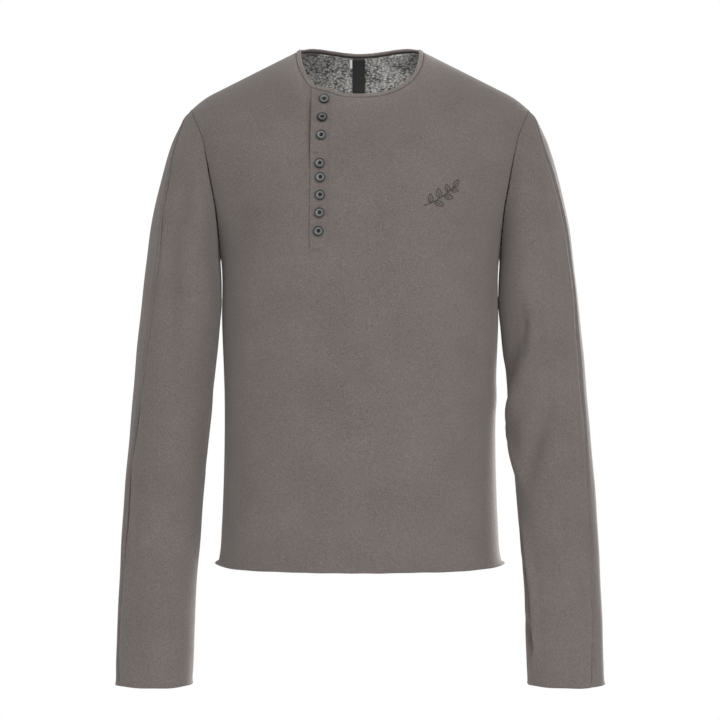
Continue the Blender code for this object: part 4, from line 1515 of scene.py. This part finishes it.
@dataclass
class NeckLabels:
    """The black neck label and the small white size tab beside it, both bare, sewn in at the nape."""

    label_x: float = -0.0018
    label_width: float = 0.0168
    top_z: float = -0.0026
    label_foot_z: float = -0.0622
    tab_x: float = -0.0072
    tab_width: float = 0.0120
    tab_foot_z: float = -0.0140
    thick: float = 0.0008

    def build(self, tree: BVHTree, black: bpy.types.Material, white: bpy.types.Material) -> None:
        """Args:
            tree: the back's surface.
            black: the label's finish.
            white: the tab's finish.
        """
        for name, x, width, foot, lift, material, replaced in (
            ("woven_tab", self.tab_x, self.tab_width, self.tab_foot_z, SEAM, white, "size_tab"),
            ("woven_label", self.label_x, self.label_width, self.label_foot_z, 0.0019, black, "neck_label"),
        ):
            rows = 10 if material is white else 48
            top = self.top_z - 0.0022 if material is white else self.top_z
            heights = np.linspace(top, foot, rows)
            places = [[(x + width * s, z) for s in np.linspace(-0.5, 0.5, 17)] for z in heights]
            seat, normals = smooth_strip(tree, places, 0.0)
            down = (self.top_z - seat[:, :, 2]) / 0.060
            side = np.linspace(-1, 1, 17)[None, :]
            sway = 0.0009 * down * np.sin(np.pi * 1.3 * down) + 0.0005 * down * side**2
            inner = seat + normals * (lift + sway)[..., None]
            edge = np.sqrt(np.clip(1 - np.abs(side) ** 12, 0.05, 1))
            outer = inner + normals * (self.thick * edge)[..., None]
            uv = np.stack((run_lengths(outer, 1), -run_lengths(outer, 0)), axis=-1)
            slot = "tab" if material is white else "label"
            thing = Maker.piece(name, Maker.wall(name, outer, inner, uv), slot, [material, material])
            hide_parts(replaced)


@dataclass
class LeafSprig:
    """A small outline-stitched sprig of leaves on the wearer's left chest."""

    centre_x: float = 0.1015
    centre_z: float = -0.1990
    thread_radius: float = 0.00048
    stitch: float = 0.0026
    stem: tuple[tuple[float, float], ...] = (
        (-0.0225, -0.0125),
        (-0.0120, -0.0085),
        (-0.0010, -0.0020),
        (0.0085, 0.0050),
        (0.0150, 0.0115),
    )

    def _stem_point(self, share: float) -> tuple[np.ndarray, float]:
        """A place on the stem, from 0 at its foot to 1 at its tip, and its direction."""
        keys = np.linspace(0, 1, len(self.stem))
        across, up = np.array(self.stem).T
        here, ahead = (
            np.array([float(curve_through(keys, values, np.array(t))) for values in (across, up)])
            for t in (share, min(1.0, share + 0.02))
        )
        if share >= 1.0:
            here, ahead = self._stem_point(0.98)[0], here
            return ahead, math.atan2(*(ahead - here)[::-1])
        return here, math.atan2(*(ahead - here)[::-1])

    @staticmethod
    def _leaf(foot: np.ndarray, heading: float, length: float, width: float) -> list[np.ndarray]:
        """The outline and midrib of a leaf.

        Args:
            foot: where it leaves the stem.
            heading: the way it points, in radians.
            length: its length.
            width: its width.

        Returns:
            Two edges that meet at the tip, and the midrib.
        """
        t = np.linspace(0, 1, 15)
        way = np.array((math.cos(heading), math.sin(heading)))
        side = np.array((-way[1], way[0]))
        swell = width / 2 * np.sin(np.pi * t**0.85) ** 0.9
        bend = 0.10 * length * t * t
        middle = foot + way * (length * t)[:, None] + side * bend[:, None]
        return [middle + side * swell[:, None], middle - side * swell[:, None], middle[1:10]]

    def _lines(self) -> list[np.ndarray]:
        """Every stitched line of the sprig, about its own middle."""
        lines = [np.array([self._stem_point(t)[0] for t in np.linspace(0, 1, 25)])]
        for share, turn, length, width in (
            (0.20, 62, 0.0120, 0.0062),
            (0.32, -58, 0.0125, 0.0064),
            (0.46, 60, 0.0125, 0.0064),
            (0.60, -56, 0.0120, 0.0062),
            (0.74, 58, 0.0105, 0.0056),
            (0.86, -54, 0.0095, 0.0052),
            (1.00, 4, 0.0110, 0.0056),
        ):
            foot, heading = self._stem_point(share)
            lines.extend(self._leaf(foot, heading + math.radians(turn), length, width))
        return lines

    def build(self, tree: BVHTree, thread: bpy.types.Material) -> None:
        """Stitch the sprig onto the chest.

        Args:
            tree: the front's surface.
            thread: the embroidery thread.
        """
        lines = [line + (self.centre_x, self.centre_z) for line in self._lines()]
        mesh = stitched(tree, lines, self.stitch, self.thread_radius, "leaf_sprig", overlap=0.25)
        Maker.piece("leaf_sprig", mesh, "jersey", [thread])
        LOG.info("leaf sprig: %d faces", len(mesh.polygons))


def stitched(
    tree: BVHTree, lines: list, length: float, radius: float, name: str, overlap: float, gap: float = 0.0
) -> bpy.types.Mesh:
    """Short stitches of thread along lines on a surface.

    Args:
        tree: the surface's faces.
        lines: the lines, as rows of (x, z).
        length: one stitch's length.
        radius: the thread's radius.
        name: the mesh's name.
        overlap: how far each stitch runs on beside the next, as a share of its length.
        gap: how much of its length is left open between stitches.

    Returns:
        One mesh of all the stitches.
    """
    parts = []
    for line in lines:
        run = run_lengths(line[:, None], 0)[:, 0]
        count = max(1, round(run[-1] / length))
        step = run[-1] / count
        for i in range(count):
            start, end = step * i, min(run[-1], step * (i + 1 + overlap - gap))
            at = np.linspace(start, end, 5)
            spots = np.stack((np.interp(at, run, line[:, 0]), np.interp(at, run, line[:, 1])), axis=-1)
            aside = np.array((spots[-1] - spots[0])[::-1]) * (1, -1)
            aside = aside / max(np.linalg.norm(aside), 1e-9) * radius * 0.5 * overlap
            path = []
            for k, (x, z) in enumerate(spots + np.linspace(-1, 1, 5)[:, None] * aside * 2):
                place, normal = on_surface(tree, x, z)
                arch = radius * (0.15 + 0.75 * math.sin(math.pi * k / 4))
                path.append(place + normal * arch)
            parts.append(Maker.tube(np.array(path), radius, 6))
    return Maker.joined(name, parts)


@dataclass
class Stitching:
    """The small visible stitches: the placket's box, its button marks, and the edges of an empty buttonhole.
    """

    placket: Placket
    inset: float = 0.0022

    def _box(self) -> list[np.ndarray]:
        """The line down the placket's sewn edge and across its foot."""
        foot = self.placket.foot_z + self.inset
        right = self.placket.half_width - self.inset
        down = [(self.placket.middle_x(z) + right, z) for z in np.linspace(-0.0800, foot, 60)]
        across = [(self.placket.middle_x(foot) + x, foot) for x in np.linspace(right, -right, 12)]
        return [np.array(down), np.array(across)]

    def _marks(self) -> tuple[list[np.ndarray], list[np.ndarray]]:
        """Pale ends of thread below the upper buttons, and the edges of an empty buttonhole."""
        marks = []
        for aside, z in ((0.0046, -0.0862), (0.0022, -0.1087), (0.0012, -0.1318)):
            x = self.placket.middle_x(z) + aside
            marks.append(np.array([(x, z + 0.0011), (x, z - 0.0011)]))
        foot = self.placket.foot_z + 0.004
        x = self.placket.middle_x(foot) + 0.0112
        marks.append(np.array([(x, foot + 0.0008), (x + 0.0022, foot - 0.0010)]))
        hole_z, left = -0.1462, self.placket.middle_x(-0.1462) - 0.0092
        edges = [
            np.array([(left, hole_z + up), (left + 0.0078, hole_z + up)]) for up in (-0.0007, 0.0007)
        ]
        return marks, edges

    def build(self, overlap: BVHTree, same: bpy.types.Material, pale: bpy.types.Material) -> None:
        """Sew the stitches.

        Args:
            overlap: the surface of the placket and the front together.
            same: thread of the cloth's colour.
            pale: a paler thread.
        """
        marks, hole = self._marks()
        for name, lines, length, radius, material, gap in (
            ("placket_stitches", self._box(), 0.0028, 0.00020, same, 0.28),
            ("button_marks", marks, 0.0011, 0.00030, pale, 0.1),
            ("buttonhole_edge", hole, 0.0008, 0.00026, same, 0.15),
        ):
            mesh = stitched(overlap, lines, length, radius, name, overlap=0.0, gap=gap)
            Maker.piece(name, mesh, "jersey", [material])


@dataclass
class Studio:
    """A pale floor, soft lights and the camera."""

    distance: float = 2.4
    height: float = -0.403
    lens: float = 92.3
    floor_z: float = -1.25
    floor_radius: float = 1.15

    def camera(self) -> None:
        """Set the camera level with the middle of the shirt, square to its front."""
        data = bpy.data.cameras.new("camera")
        data.lens = self.lens
        data.sensor_width = 36.0
        camera = bpy.data.objects.new("camera", data)
        camera.location = (0.0, -self.distance, self.height)
        camera.rotation_euler = (math.radians(90), 0.0, 0.0)
        bpy.context.scene.collection.objects.link(camera)
        bpy.context.scene.camera = camera

    def floor(self) -> None:
        """Lay the plain pale floor below the hanging shirt."""
        bpy.ops.object.select_all(action="DESELECT")
        bpy.ops.mesh.primitive_circle_add(
            vertices=96, radius=self.floor_radius, fill_type="NGON", location=(0, 0, self.floor_z)
        )
        floor = bpy.context.object
        floor.name = "floor"
        floor.data.materials.append(PaperFinish().build())

    @staticmethod
    def _stand(data: bpy.types.Light, place: tuple, aim: tuple) -> None:
        """Stand a light in its place.

        Args:
            data: the light.
            place: where it stands.
            aim: the point it faces.
        """
        light = bpy.data.objects.new(data.name, data)
        light.location = place
        way = Vector(aim) - Vector(place)
        light.rotation_euler = way.to_track_quat("-Z", "Y").to_euler()
        bpy.context.scene.collection.objects.link(light)

    @staticmethod
    def _light(name: str, place: tuple, aim: tuple, size: tuple, power: float, colour: Colour) -> None:
        """Add a soft rectangular light.

        Args:
            name: its name.
            place: where it stands.
            aim: the point it faces.
            size: its width and height.
            power: its power in watts.
            colour: its colour.
        """
        data = bpy.data.lights.new(name, "AREA")
        data.shape = "RECTANGLE"
        data.size, data.size_y = size
        data.energy = power
        data.color = colour
        Studio._stand(data, place, aim)

    def lights(self) -> None:
        """Light the shirt softly from the front, with a brighter edge from behind on its left."""
        middle = (0.0, 0.0, -0.40)
        self._light("front light", (0.9, -3.2, 0.7), middle, (2.2, 2.2), 86.0, (1.0, 0.995, 0.985))
        self._light("fill light", (-1.9, -2.6, 0.4), middle, (2.0, 2.6), 14.0, (1.0, 1.0, 1.0))
        self._light("edge light", (1.05, 1.55, -0.2), middle, (0.7, 2.2), 78.0, (1.0, 1.0, 1.0))
        self._light("back light", (-1.7, 1.3, 0.2), middle, (1.0, 2.2), 9.0, (1.0, 1.0, 1.0))
        self._spot("nape light", (-0.40, -1.00, 0.55), (0.034, 0.050, -0.030), 6.5, 150.0)

    @staticmethod
    def _spot(name: str, place: tuple, aim: tuple, degrees: float, power: float) -> None:
        """Add a small soft spotlight, which reaches only into the neck.

        Args:
            name: its name.
            place: where it stands.
            aim: the point it faces.
            degrees: how wide its cone is.
            power: its power in watts.
        """
        data = bpy.data.lights.new(name, "SPOT")
        data.energy = power
        data.spot_size = math.radians(degrees)
        data.spot_blend = 0.9
        data.shadow_soft_size = 0.08
        Studio._stand(data, place, aim)

    def world(self) -> None:
        """Show plain white behind the shirt, with a lower light from all round."""
        world = bpy.data.worlds.new("studio")
        world.use_nodes = True
        world.node_tree.nodes.clear()
        shader = Shader(world.node_tree)
        seen = shader.node("LightPath").outputs["Is Camera Ray"]
        around = shader.node("Background", Color=(1.0, 1.0, 1.0, 1.0), Strength=0.42)
        white = shader.node("Background", Color=(1.0, 1.0, 1.0, 1.0), Strength=1.0)
        both = shader.node("MixShader", _0=seen, _1=around.outputs[0], _2=white.outputs[0])
        shader.node("OutputWorld", Surface=both.outputs[0])
        bpy.context.scene.world = world

    def build(self) -> None:
        """Build the whole studio."""
        bpy.context.scene.view_settings.view_transform = "Standard"
        self.camera()
        self.world()
        self.floor()
        self.lights()


def main() -> None:
    """Build the shirt piece by piece, then the studio round it."""
    groups = ShaderGroups()
    jersey, terry = JerseyFinish().build(groups), TerryFinish().build(groups)
    form = BodyForm()
    body = BodyCloth(form)
    Studio().build()
    panels = body.build(jersey, terry)
    SleeveCloth(form).build(jersey, terry)
    NeckBinding(body).build(jersey)

    placket = Placket()
    chest = surface_tree(panels[Face.FRONT])
    placket_cloth = placket.build(chest, body.plain[Face.FRONT][0], jersey)
    horn = [
        HornFinish("button_rim", (0.008, 0.009, 0.0095), (0.022, 0.023, 0.024), 0.55).build(),
        # the face's paler horn is partly a painted highlight: the same resin as the rim, lighter where its
        # polished ring catches light
        HornFinish("button_face_painted_highlight", (0.085, 0.087, 0.089), (0.150, 0.152, 0.154), 0.45).build(),
        HornFinish("button_middle", (0.003, 0.003, 0.0035), (0.006, 0.006, 0.0065), 0.9).build(),
    ]
    dark = ThreadFinish("button_thread", (0.006, 0.006, 0.0065), roughness=0.95).build()
    Buttons(placket).build(surface_tree(placket_cloth), horn, dark)
    black = WovenFinish("label_black", (0.0035, 0.0035, 0.004)).build()
    white = WovenFinish("tab_white", (0.62, 0.62, 0.61)).build()
    NeckLabels().build(surface_tree(panels[Face.BACK]), black, white)
    embroidery = ThreadFinish("embroidery_thread", (0.036, 0.034, 0.030)).build()
    LeafSprig().build(chest, embroidery)
    same = ThreadFinish("sewing_thread", (0.150, 0.130, 0.122)).build()
    pale = ThreadFinish("pale_thread", (0.42, 0.40, 0.38)).build()
    Stitching(placket).build(surface_tree(panels[Face.FRONT], placket_cloth), same, pale)


if __name__ == "__main__":
    logging.basicConfig(level=logging.INFO, format="%(name)s: %(message)s")
    main()
